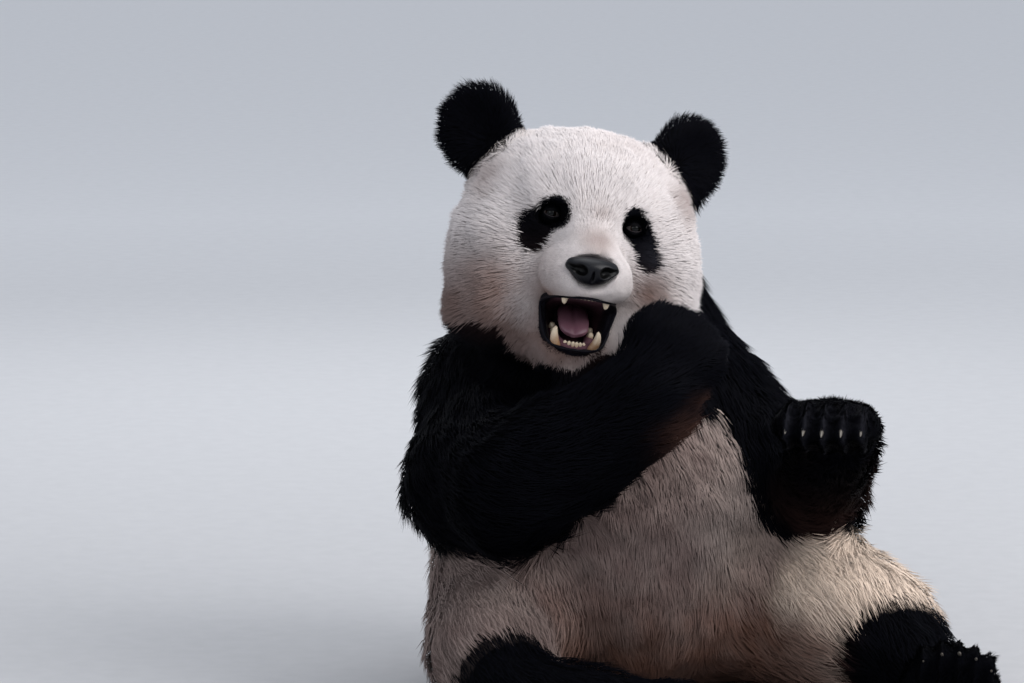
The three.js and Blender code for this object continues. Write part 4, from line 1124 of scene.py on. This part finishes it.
def tufts(name, count, wanted, slot, ground):
    """One piece of coat: closed three-sided spindles, bent once, on the wanted vertices' part of a
    ground. They are dealt evenly over the triangles' areas, with more where tufts are small. Each runs
    along the lie of the coat, lifted off the skin by its style's degrees, steeper below its widest
    place and flatter above it."""
    points, triangles, places = ground["points"], ground["triangles"], ground["places"]
    area = np.linalg.norm(facings(points, triangles), axis=1)
    small = 1 / (ground["width"] * ground["length"])
    weight = area * small[triangles].mean(1) * wanted[triangles].mean(1)
    heap = np.cumsum(weight)
    picks = (np.arange(count) + random.uniform(0, 1, count)) / count * heap[-1]
    chosen = np.searchsorted(heap, picks).clip(0, len(heap) - 1)
    first, second = np.sqrt(random.uniform(0, 1, count)), random.uniform(0, 1, count)
    blend = np.stack([1 - first, first * (1 - second), first * second], axis=1)[:, :, None]
    vertices = triangles[chosen]

    def at_root(trait):
        """The ground's values at the tufts' roots."""
        return (ground[trait][vertices].reshape(count, 3, -1) * blend).sum(1)

    root, normal = at_root("points"), unit(at_root("normals"))
    swell = at_root("surge")
    way = unit(at_root("lie")) + at_root("eddies") + random.normal(0, STRAY, (count, 3))
    way = unit(way - (way * normal).sum(1, keepdims=True) * normal)
    side = np.cross(way, normal)
    length = at_root("length") * (1 + 0.1 * swell) * random.uniform(*LENGTHS, (count, 1))
    width = at_root("width") * random.uniform(*WIDTHS, (count, 1))
    lift = at_root("lift") + SWAY * swell + random.normal(0, SWAY, (count, 1))

    def bent(angle):
        """The tufts' way and their upper side, turned up by an angle."""
        c, s = np.cos(np.radians(angle)), np.sin(np.radians(angle))
        return c * way + s * normal, c * normal - s * way

    low_way, low_over = bent(lift + TUFT_BEND)
    high_way, high_over = bent(lift - TUFT_BEND)
    middle = root + low_way * length * TUFT_WIDEST
    shape = [
        root - normal * np.minimum(SUNK, length * 0.1),
        middle - side * width / 2,
        middle + side * width / 2,
        middle + (low_over + high_over) / 2 * width * TUFT_RIDGE,
        middle + high_way * length * (1 - TUFT_WIDEST),
    ]
    facing = np.stack([low_over, -side, side, low_over + high_over, high_over], axis=1)
    facing = unit(SOFTNESS * normal[:, None] + (1 - SOFTNESS) * unit(facing))
    shape = np.stack(shape, axis=1)
    shape[..., 2] = np.maximum(shape[..., 2], TUFT_OVER_FLOOR)
    faces = (np.arange(count)[:, None, None] * len(TUFT_SHARES) + TUFT_FACES).reshape(-1, 3)
    piece = mesh_object(name, shape.reshape(-1, 3), faces)
    piece.data.normals_split_custom_set_from_vertices(facing.reshape(-1, 3).tolist())

    def on_tuft(values):
        """One value for each tuft, given to all its vertices."""
        return np.repeat(values.ravel(), len(TUFT_SHARES))

    edge = at_root("border").ravel() + random.normal(0, RAGGED, count)
    tone = np.clip(random.normal(0, 0.4, count) + 0.25 * swell.ravel(), -1, 1)
    black = ramp(edge, -0.0015, 0.0015)
    tips = np.tile(TUFT_SHARES, count)
    rooted = {name: on_tuft(at_root(name)) for name in stains_and_painted_light}
    set_values(piece, black=on_tuft(black), tone=on_tuft(tone), tip=tips, **rooted)
    place = (places[chosen] * blend).sum(1)
    patch = np.stack([TUFT_ACROSS, TUFT_SHARES - 0.5], axis=1) * PATCH
    spots = (place[:, None] + patch[None]).reshape(-1, 2)
    layer = piece.data.uv_layers.new(name="OFBake")
    layer.data.foreach_set("uv", spots[faces.ravel()].astype(np.float32).ravel())
    return finished(piece, coat_fur, slot)


BARE_ROUND_EYE = 13.5  # the lids' own down begins nearer than this to the eye's middle
CENTRE_FACE_REACH = 118  # from the nose
CROWN_HEIGHT = 20  # above the eyes
skin_ground = {
    "points": points,
    "triangles": triangles,
    "places": corner_places,
    "normals": normals,
    "length": tuft_length,
    "width": styles[:, WIDTH] * MM * (0.45 + 0.55 * shortness),
    "lift": styles[:, LIFT] + 14 * fringe + 6 * ruff,
    "lie": lie,
    "eddies": eddies * EDDY * np.where(of_head, FACE_EDDY, 1)[:, None],
    "surge": surge,
    "border": border_ahead,
    **stains_and_painted_light,
}
parts_at = np.array([FLESH[i] for i in np.argmin([near[n] for n in FLESH], axis=0)])
furred = ~in_mouth & (eye_gap > BARE_ROUND_EYE)
centre_face = of_head & (nose_gap < CENTRE_FACE_REACH)
upper_head = on_face[:, 2] > CROWN_HEIGHT


def belongs(*starts):
    """Whether each vertex bears coat and lies on the solids whose names start so."""
    return np.array([name.startswith(starts) for name in parts_at]) & furred


def limb(side, *names):
    """The furred part of one limb."""
    return belongs(*(f"{name}_{side}" for name in names))


ARM, LEG = ("upper_arm", "forearm", "forepaw"), ("thigh", "shin", "hind_foot")
head_all = belongs("head", "muzzle", "lower_jaw")
# Each piece of coat: how many tufts, where they stand, and its slot.
COATS = {
    "coat_face": (33000, head_all & centre_face, "fur_white"),
    "coat_crown": (33000, head_all & ~centre_face & upper_head, "fur_white"),
    "coat_cheeks": (33000, head_all & ~centre_face & ~upper_head, "fur_white"),
    "coat_ears": (14000, belongs("ear"), "fur_black"),
    "coat_neck_and_chest": (17000, belongs("neck", "chest"), "fur_black"),
    "coat_arm_right": (31000, limb("right", *ARM), "fur_black"),
    "coat_arm_left": (20000, limb("left", *ARM), "fur_black"),
    "coat_belly": (21000, belongs("belly"), "fur_dusty"),
    "coat_rump_and_tail": (14000, belongs("rump", "tail"), "fur_white"),
    "coat_leg_right": (15000, limb("right", *LEG), "fur_dusty"),
    "coat_leg_left": (18000, limb("left", *LEG), "fur_dusty"),
}
for name, (count, wanted, slot) in COATS.items():
    tufts(name, count, wanted.astype(float), slot, skin_ground)
finished(skin, skin_finish(), "fur_white", *FLESH)

# ---------------------------------------------------------------- eyes and lids


def ball(at, centre, radii, lean=0):
    """Nearly the distance of places to an ellipsoid, below 0 inside it. It leans in the x-z plane."""
    offset = (at - np.array(centre)) @ turn(1, lean)
    radii = np.array(radii, float)
    scaled = np.linalg.norm(offset / radii, axis=-1)
    slope = np.linalg.norm(offset / radii**2, axis=-1)
    return scaled * (scaled - 1) / np.maximum(slope, 1e-6)


def melted(a, b, band):
    """The nearer of two distances, rounded where they differ by less than band: the lesser one, less
    a quarter of the band times the square of the share of the band that is left."""
    h = np.maximum(band - np.abs(a - b), 0) / band
    return np.minimum(a, b) - h * h * band / 4


EYE_OUTWARD = 10  # degrees that each eye looks out to its side
CORNEA_BULGE, CORNEA_REACH = 0.04, 27  # a share of the eye's radius, and degrees from its middle
LID_RADIUS = 13.4
LID_DOWN = (6.0, 0.6)  # the length and width of the hairs on the lids
LID_TUFTS = 3500
LID_WIDE, LID_HIGH = 23, 21  # how far the lids reach from the eye's middle
LID_FOLD = 0.5  # the height of the folds round the slit
SLIT_HALF_WIDTH = 11.2
SLIT_UPPER, SLIT_LOWER = 3.6, 3.8  # its half-heights
SLIT_TILTS = {"right": -5, "left": 2}  # degrees that the slit's outer end is lower
LID_MELT = 6  # how gently the lids run into the skin
BEFORE_EYES = -70.0  # the depth of a place that lies before all the skin round the eyes
skin_tree = tree_of(points, triangles)


def eye_piece(side):
    """An eyeball, whose radius swells towards the way it looks. Each point stores its angle from
    that way."""
    sign = SIDES[side]
    look = turn(2, sign * EYE_OUTWARD) @ np.array([0, -1, 0])
    over = np.array([0, 0, 1.0])
    across = np.cross(look, over)
    away = np.radians(np.linspace(1, 179, 60))[:, None]
    around = circle(64)[None]
    bulge = 1 + CORNEA_BULGE * np.exp(-((np.degrees(away) / CORNEA_REACH) ** 4))
    radius = EYE_RADIUS * bulge * np.ones_like(around)
    ways = (
        np.cos(away)[..., None] * look
        + (np.sin(away) * np.cos(around))[..., None] * across
        + (np.sin(away) * np.sin(around))[..., None] * over
    )
    rings = from_face(eye_middles[side] + radius[..., None] * ways)
    eye = closed_tube(f"eyeball_{side}", rings)
    angles = np.repeat(np.degrees(away).ravel(), around.size)
    set_values(eye, away=np.concatenate([angles, [0, 180]]))
    return finished(eye, wet_eye, "eye_dark", f"eye_{side}")


def skin_front(x, z):
    """The depth y of the skin straight behind places on the front of the face."""
    forward = Vector(directed([0, 1, 0]))
    starts = from_face(np.stack([x, np.full_like(x, BEFORE_EYES), z], axis=-1).reshape(-1, 3))
    hits = [skin_tree.ray_cast(Vector(start), forward)[0] for start in starts]
    found = np.array([start if hit is None else hit for start, hit in zip(starts, hits)])
    return to_face(found)[:, 1].reshape(x.shape)


def lids_piece(side):
    """Both lids of one eye, as rings from the inner edge of the almond slit out onto the skin. Each
    lies on a ball round the eye near the slit, and melts into the skin further out."""
    sign = SIDES[side]
    centre = eye_middles[side]
    around = circle(96)[None]
    out, up = np.cos(around), np.sin(around)
    half_height = np.where(up > 0, SLIT_UPPER, SLIT_LOWER)
    rim_x = SLIT_HALF_WIDTH * out
    rim_z = half_height * np.sign(up) * np.abs(up) ** 1.25
    spread = np.concatenate([[0, 0, 0], np.linspace(0.03, 1, 24) ** 1.15])[:, None]
    x = rim_x + (LID_WIDE * out - rim_x) * spread
    z = rim_z + (LID_HIGH * up - rim_z) * spread
    tilt = math.radians(SLIT_TILTS[side])
    x, z = x * math.cos(tilt) + z * math.sin(tilt), z * math.cos(tilt) - x * math.sin(tilt)
    x = x * sign
    apart = np.hypot(x, z)
    radii = np.full_like(spread, LID_RADIUS)
    radii[:3, 0] = (EYE_RADIUS - 1.5, EYE_RADIUS + 0.3, LID_RADIUS - 0.3)  # the rounded inner edge
    ball_front = -np.sqrt(np.maximum(radii**2 - apart**2, 0))
    ball_front = ball_front + 30 * ramp(apart, radii - 2, radii + 6)
    behind = skin_front(centre[0] + x, centre[2] + z) - centre[1]
    behind = behind - 0.5 + 2.5 * ramp(spread, 0.75, 1.0)
    y = melted(ball_front, behind, LID_MELT)
    folds = LID_FOLD * np.cos(apart * 1.6)
    y = y - folds * ramp(spread, 0.05, 0.2) * (1 - ramp(spread, 0.45, 0.8))
    rings = from_face(np.stack([centre[0] + x, centre[1] + y, centre[2] + z], axis=-1))
    faces = sheet_faces(*x.shape, wraps=True)
    if sign > 0:
        faces = faces[:, ::-1]
    lids = mesh_object(f"lids_{side}", rings.reshape(-1, 3), faces)
    # The lower lid's wet rim, painted paler for its glint.
    rim = (1 - ramp(spread, 0.0, 0.06)) * ramp(up, -0.1, -0.6)
    set_values(lids, rim=rim)
    finished(lids, lid_skin, "fur_black")

    # Short down on the lids, running out from the slit and back over the face.
    lid_points, lid_triangles = arrays_of(lids)
    lid_normals = normals_at(lid_points, lid_triangles)
    middles = lid_points[lid_triangles].mean(1)
    under = [skin_tree.find_nearest(Vector(p))[2] for p in middles]
    outward = unit(lid_points - from_face(centre)) + 0.5 * unit(lid_points - from_face(SPRING))
    whole = np.ones(len(lid_points))
    bare = ramp(spread, 0.14, 0.3) * np.ones_like(x)
    ground = {
        "points": lid_points,
        "triangles": lid_triangles,
        "places": corner_places[under],
        "normals": lid_normals,
        "length": whole * LID_DOWN[0] * MM * (0.6 + 0.4 * bare.ravel()),
        "width": whole * LID_DOWN[1] * MM,
        "lift": whole * 20,
        "lie": unit(outward),
        "eddies": np.zeros_like(lid_points),
        "surge": 0 * whole,
        "border": whole,
        **{name: 0 * whole for name in stains_and_painted_light},
    }
    tufts(f"coat_lids_{side}", LID_TUFTS, bare.ravel(), "fur_black", ground)


wet_eye, lid_skin = eye_finish(), lid_finish()
for side in SIDES:
    eye_piece(side)
    lids_piece(side)

# ---------------------------------------------------------------- nose

NOSE_MIDDLE = np.array([-2.5, -78, -66])
NOSE_OUTSIDE = 60.0  # this far from its middle, everything is outside the nose pad


def nose_field(at):
    """The nose pad: a wide rounded triangle, with nostrils like commas and a cleft below."""
    at = at - np.array([NOSE_MIDDLE[0], 0, 0])
    pad = melted(ball(at, (0, -84, -61), (37, 20, 13)), ball(at, (0, -84, -70), (23, 17, 15)), 12)
    pad = melted(pad, ball(at, (0, -79, -55), (33, 18, 8)), 8)
    holes = np.full(at.shape[:-1], 1e3)
    for sign in SIDES.values():
        round_hole = ball(at, (sign * 18, -103, -65), (9.5, 14, 7.6), -sign * 20)
        slit = ball(at, (sign * 30, -97, -62), (9, 10, 3.2), -sign * 28)
        holes = np.minimum(holes, melted(round_hole, slit, 6))
    cleft = ball(at, (0, -104, -78), (1.8, 8, 13))
    return -melted(-pad, melted(holes, cleft, 3), 3), holes


def nose_piece():
    """The nose pad, found along rays from its middle, where its field changes sign, by halving."""
    polar = np.radians(np.linspace(0.5, 179.5, 130))[:, None]
    around = circle(160)[None]
    ways = np.stack(
        [
            np.sin(polar) * np.cos(around),
            -np.cos(polar) * np.ones_like(around),
            np.sin(polar) * np.sin(around),
        ],
        axis=-1,
    )
    near_end, far_end = np.zeros(ways.shape[:2]), np.full(ways.shape[:2], NOSE_OUTSIDE)
    for _ in range(22):
        half = (near_end + far_end) / 2
        inside = nose_field(NOSE_MIDDLE + half[..., None] * ways)[0] < 0
        near_end, far_end = np.where(inside, half, near_end), np.where(inside, far_end, half)
    at = NOSE_MIDDLE + near_end[..., None] * ways
    nose = closed_tube("nose_pad", from_face(at))
    # Painted shade in the nostrils.
    hollow = ramp(nose_field(at)[1], 2.2, 0.2).ravel()
    set_values(nose, hollow=np.concatenate([hollow, [0, 0]]))
    return finished(nose, nose_finish(), "nose_leather", "nose")


nose_piece()

# ---------------------------------------------------------------- lips, mouth, gums and tongue

LIP_FOLDS = ((7, 0.4), (11, 1.9), (17, 4.1))  # folds round the lips, and where each starts
LIP_THICK, LOWER_LIP_MORE = 1.5, 0.7
THROAT_DEPTH = 68
LOOP_STEPS = 120  # places round the mouth
LIP_TURNS = np.radians(np.linspace(-30, 190, 13))  # steps in turning round the edge of the lips
LINING_STEPS = np.linspace(0, 1, 26)[1:] ** 1.5  # from the lips to the throat, close at the lips
LIPS_END = 0.07  # by this step the lining has left the lips' shape for the wall's
INSIDE_WALL = 0.96  # how far out the lining lies, as a share of the wall's reach
UP = np.array([0, 0, 1.0])


def mouth_piece():
    """Rounded lips round the mouth's edge, which run on as the lining to the throat. The lips are
    turned round the edge in steps, and each ring behind them takes the wall's reach at its depth."""
    loop = lip_loop(np.arange(LOOP_STEPS) / LOOP_STEPS)
    along = unit(np.roll(loop, -1, axis=0) - np.roll(loop, 1, axis=0))
    out = loop - loop.mean(0)
    out = unit(out - (out * along).sum(1, keepdims=True) * along)
    front = np.cross(along, out)
    front = front * np.sign(-front[:, [1]])
    lower = ramp(loop[:, 2], -120, -160)[:, None]
    round_loop = np.arange(LOOP_STEPS) / LOOP_STEPS * 2 * math.pi
    folds = sum(np.sin(n * round_loop + start) for n, start in LIP_FOLDS)[:, None]
    thick = (LIP_THICK + LOWER_LIP_MORE * lower) * (1 + 0.14 * folds)
    sideways = out + 0.15 * front
    rows = [loop + thick * (np.cos(a) * sideways + np.sin(a) * front) for a in LIP_TURNS]
    flange = rows[0] + (3.0 + 2.5 * lower) * out - 6 * front
    rows = [flange, (flange + rows[0]) / 2] + rows
    last = rows[-1]
    up = last[:, 2] - MOUTH_CENTRE
    angle, first_reach = np.arctan2(up, last[:, 0]), np.hypot(up, last[:, 0])
    for back in LINING_STEPS:
        y = last[:, 1] + (THROAT_DEPTH - last[:, 1]) * back
        settled = ramp(np.array(back), 0.0, LIPS_END)
        reach = first_reach * (1 - settled) + opening_reach(angle, y) * INSIDE_WALL * settled
        ring = [reach * np.cos(angle), y, MOUTH_CENTRE + reach * np.sin(angle)]
        rows.append(np.stack(ring, axis=1))
    rings = np.stack(rows)
    points = np.concatenate([rings.reshape(-1, 3), rings[-1:].mean(1)])
    quads = sheet_faces(*rings.shape[:2], wraps=True)
    around = np.arange(LOOP_STEPS)
    last_row = (len(rows) - 1) * LOOP_STEPS
    end = np.full(LOOP_STEPS, len(points) - 1)
    fan = np.stack([last_row + around, last_row + (around + 1) % LOOP_STEPS, end], axis=1)
    mouth = mesh_object("mouth_lining", from_face(points), quads[:, ::-1], fan[:, ::-1])
    row = np.concatenate([np.repeat(np.arange(len(rows)), LOOP_STEPS), [len(rows) - 1]])
    at_side = np.tile(ramp(np.abs(loop[:, 0]), 25, 45), len(rows))
    at_side = np.concatenate([at_side, [0]])
    inside = ramp(row, 15 + 9 * at_side, 22 + 10 * at_side)
    # Painted shade, deepening towards the throat.
    throat = ramp(points[:, 1], -8, 35) * 0.9
    set_values(mouth, inside=inside, throat=throat)
    return finished(mouth, mouth_lining, "nose_leather")


def tube_along(line, widths, heights, count, sides):
    """The rings of a round-ended tube along a smooth line, oval in section, and the share of the
    line at which each ring lies."""
    shares = np.linspace(0, 1, count)
    centre = through(line, shares)
    along = unit(np.gradient(centre, axis=0))
    across = unit(np.cross(along, UP))
    up = np.cross(across, along)
    places = np.linspace(0, 1, len(widths))
    ends = np.sqrt(np.clip(1 - np.abs(2 * shares - 1) ** 10, 0.0, 1))
    wide = (np.interp(shares, places, widths) * ends)[:, None, None]
    high = (np.interp(shares, places, heights) * ends)[:, None, None]
    angle = circle(sides)[None, :, None]
    sideways = np.cos(angle) * wide * across[:, None]
    return centre[:, None] + sideways + np.sin(angle) * high * up[:, None], shares


TONGUE_LINE = [(0, 52, -120), (0, 28, -131), (0, 10, -142), (0, -3, -152), (0, -9, -160)]
TONGUE_WIDTHS, TONGUE_HEIGHTS = [19, 21, 22, 20, 13], [9, 10, 9, 7, 4]
GROOVE_WIDTH, GROOVE_DEPTH, EDGE_RISE = 3.5, 3.0, 3.5


def tongue_piece():
    """A broad flat tongue with a groove along its middle and its edges turned up."""
    rings, shares = tube_along(TONGUE_LINE, TONGUE_WIDTHS, TONGUE_HEIGHTS, count=60, sides=48)
    across = rings[..., 0]
    widest = np.abs(across).max(1, keepdims=True) + 1e-6
    top = rings[..., 2] > rings[..., 2].mean(1, keepdims=True)
    groove = np.exp(-((across / GROOVE_WIDTH) ** 2)) * GROOVE_DEPTH
    groove = groove * ramp(shares, 1.0, 0.8)[:, None]
    turned_up = (np.abs(across) / widest) ** 2 * EDGE_RISE
    rings[..., 2] += np.where(top, turned_up - groove, 0.6 * turned_up)
    tongue = closed_tube("tongue_piece", from_face(rings))
    # Painted shade, deepening towards the throat at the tongue's back.
    throat = np.repeat(1 - ramp(shares, 0.15, 0.75), rings.shape[1])
    set_values(tongue, throat=np.concatenate([throat, [1, 0]]))
    return finished(tongue, tongue_finish(), "tongue_pink", "tongue")


def gum_piece(name, line, radius):
    """A ridge of gum along a row of teeth, from the back on one side to the back on the other."""
    line = np.array(line, float)
    whole = np.concatenate([line * FLIP, line[-2::-1]])
    rings = tube_along(whole, [radius] * 3, [radius * 0.9] * 3, count=90, sides=20)[0]
    gum = closed_tube(name, from_face(rings))
    even = np.ones(len(gum.data.vertices))
    # The gums take a little of the painted throat shade.
    set_values(gum, inside=even, throat=0.15 * even)
    return finished(gum, mouth_lining, "tongue_pink")


mouth_lining = mouth_finish()
mouth_piece()
tongue_piece()
LOWER_GUM = [(28, 38, -150), (25, 14, -161), (22, -6, -168), (13, -17, -173), (0, -20, -174)]
UPPER_GUM = [(40, 24, -98), (34, -14, -98), (27, -48, -96), (15, -61, -95), (0, -65, -95)]
gum_piece("lower_gum", LOWER_GUM, 7.5)
gum_piece("upper_gum", UPPER_GUM, 7.0)

# ---------------------------------------------------------------- teeth

# Half-widths and half-depths of each kind of tooth, from its root to its tip.
CANINE = [(6.4, 6.4), (6.6, 6.4), (5.8, 5.8), (4.4, 4.4), (2.2, 2.2)]
INCISOR = [(2.2, 2.6), (2.6, 2.6), (2.7, 2.0), (2.4, 1.2)]
MOLAR = [(4.6, 6.0), (5.2, 6.6), (4.8, 6.2), (3.0, 4.2)]
STRAIGHT = (0, 0, 0)
INCISOR_PITCH = 5.2
ROW_CURVE = 0.03  # how fast the row of incisors falls back towards its ends


def tooth(root, tip, widths, lean, rows=14, sides=16):
    """One tooth as rings from root to tip, whose middle line bends by lean and whose end is round."""
    shares = np.linspace(0, 1, rows)
    bend = (shares * (1 - shares) * 4)[:, None] * lean
    centre = root + shares[:, None] * (tip - root) + bend
    along = unit(tip - root)
    across = unit(np.cross(along, [0, 1, 0]))
    front = np.cross(across, along)
    places = np.linspace(0, 1, len(widths))
    wide = np.interp(shares, places, [w[0] for w in widths])[:, None, None]
    deep = np.interp(shares, places, [w[1] for w in widths])[:, None, None]
    rounding = np.sqrt(np.clip(1 - np.clip((shares - 0.9) / 0.1, 0, 1) ** 2, 0.02, 1))
    angle = circle(sides)[None, :, None]
    section = np.cos(angle) * wide * across[None, None] + np.sin(angle) * deep * front[None, None]
    made = closed_tube("tooth", from_face(centre[:, None] + rounding[:, None, None] * section))
    gumward = np.repeat(1 - ramp(shares, 0.25, 0.85), sides)
    set_values(made, gumward=np.concatenate([gumward, [1, 0]]))
    return made


def row_of_teeth(name, canine, incisor, molars):
    """The canines, the cheek teeth and six incisors of one jaw, joined into one piece. Each is given
    by its root and its tip, on the panda's left or in the middle."""
    made = []
    for sign in SIDES.values():
        flip = np.array([sign, 1, 1])
        root, tip, lean = np.array(canine, float) * flip
        made.append(tooth(root, tip, CANINE, lean))
        for root, tip in np.array(molars, float) * flip:
            made.append(tooth(root, tip, MOLAR, np.array(STRAIGHT)))
    for place in (-2.5, -1.5, -0.5, 0.5, 1.5, 2.5):
        x = place * INCISOR_PITCH
        root, tip = np.array(incisor, float) + np.array([x, ROW_CURVE * x * x, 0])
        made.append(tooth(root, tip, INCISOR, np.array(STRAIGHT), 8, 12))
    return finished(joined_object(name, made), tooth_ivory, "fur_white")


tooth_ivory = tooth_finish()
row_of_teeth(
    "lower_teeth",
    canine=((23, -19, -177), (30, -29, -147), (3, -2, 0)),
    incisor=((0, -23, -178), (0, -28, -165)),
    molars=[
        ((25, 10, -163), (26, 6, -151)),
        ((26, 25, -158), (27, 21, -145)),
        ((28, 40, -158), (29, 38, -148)),
    ],
)
row_of_teeth(
    "upper_teeth",
    canine=((26, -53, -90), (29, -58, -115), (1, -2, 0)),
    incisor=((0, -67, -92), (0, -68, -106)),
    molars=[
        ((33, -22, -94), (33, -23, -107)),
        ((36, -5, -95), (36, -6, -108)),
        ((38, 12, -96), (38, 11, -109)),
    ],
)

# ---------------------------------------------------------------- claws

CLAW_WELD = 0.0001  # corners nearer than this are one
for name in CLAWS:
    claw = nodes[name]
    claw.data.materials.clear()
    claw.data.materials.append(claw_horn)
    claw.modifiers.new("one_skin", "WELD").merge_threshold = CLAW_WELD
    rounding = claw.modifiers.new("rounded", "SUBSURF")
    rounding.levels = rounding.render_levels = 2

# ---------------------------------------------------------------- floor, light and camera

CAMERA_TARGET = Vector((-0.2536, 0.0857, 0.495))
CAMERA_DISTANCE = 7.0
CAMERA_ELEVATION = 8  # degrees
CAMERA_LENS = 173.9  # millimetres, on a sensor 36 wide
FLOOR_HALF = 20.0
SKY, SKY_STRENGTH = (0.86, 0.91, 1.0), 0.68
BACKDROP = (0.50, 0.535, 0.59)


def stage_floor():
    """One wide square at the height of the ground."""
    corners = np.array([(-1, -1, 0), (1, -1, 0), (1, 1, 0), (-1, 1, 0)]) * FLOOR_HALF
    floor = mesh_object("floor", corners, np.array([(0, 1, 2, 3)]))
    floor.data.materials.append(floor_finish())
    floor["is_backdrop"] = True


def world_light():
    """An even pale sky that lights the panda, and a plain backdrop for the camera, reflections and
    what is seen through glass."""
    sky = Finish("studio", "worlds")
    seen = sky.node("LightPath", {}, "Is Camera Ray")
    for kind in ("Is Glossy Ray", "Is Transmission Ray"):
        seen = sky.maths("MAXIMUM", seen, sky.node("LightPath", {}, kind))
    light = sky.node("Background", {0: SKY, 1: SKY_STRENGTH})
    backdrop = sky.node("Background", {0: BACKDROP, 1: 1.0})
    sky.node("OutputWorld", {0: sky.node("MixShader", {0: seen, 1: light, 2: backdrop})})
    bpy.context.scene.world = sky.made


def lamp(name, place, size, power, colour, target=(0, 0, 0.45)):
    """A square lamp that faces the target."""
    data = bpy.data.lights.new(name, "AREA")
    data.shape = "SQUARE"
    data.size = size
    data.energy = power
    data.color = colour
    obj = bpy.data.objects.new(name, data)
    bpy.context.scene.collection.objects.link(obj)
    obj.location = place
    obj.rotation_euler = (Vector(target) - Vector(place)).to_track_quat("-Z", "Y").to_euler()


def stage_camera():
    """The camera, at its distance from the target along the way back and up by the elevation."""
    tilt = math.radians(CAMERA_ELEVATION)
    back = Vector((0, -math.cos(tilt), math.sin(tilt)))
    data = bpy.data.cameras.new("camera")
    data.lens = CAMERA_LENS
    camera = bpy.data.objects.new("camera", data)
    bpy.context.scene.collection.objects.link(camera)
    camera.location = CAMERA_TARGET + back * CAMERA_DISTANCE
    camera.rotation_euler = (-back).to_track_quat("-Z", "Y").to_euler()
    data.clip_end = 100
    bpy.context.scene.camera = camera


stage_floor()
world_light()
lamp("key", (2.6, -1.7, 2.8), 2.4, 122, (1.0, 0.985, 0.98))
lamp("top", (0.2, 0.4, 4.2), 3.0, 74, (0.97, 0.98, 1.0))
lamp("back", (-0.6, 3.0, 2.4), 2.0, 22, (0.95, 0.97, 1.0))
lamp("front", (-1.5, -4.2, 2.3), 0.6, 15, (0.95, 0.97, 1.0))
stage_camera()
bpy.context.scene.view_settings.view_transform = "Standard"

visual_low, visual_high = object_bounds()
boxes = {"cad": [cad_low, cad_high], "visual": [visual_low, visual_high]}
{name: [list(corner) for corner in box] for name, box in boxes.items()}
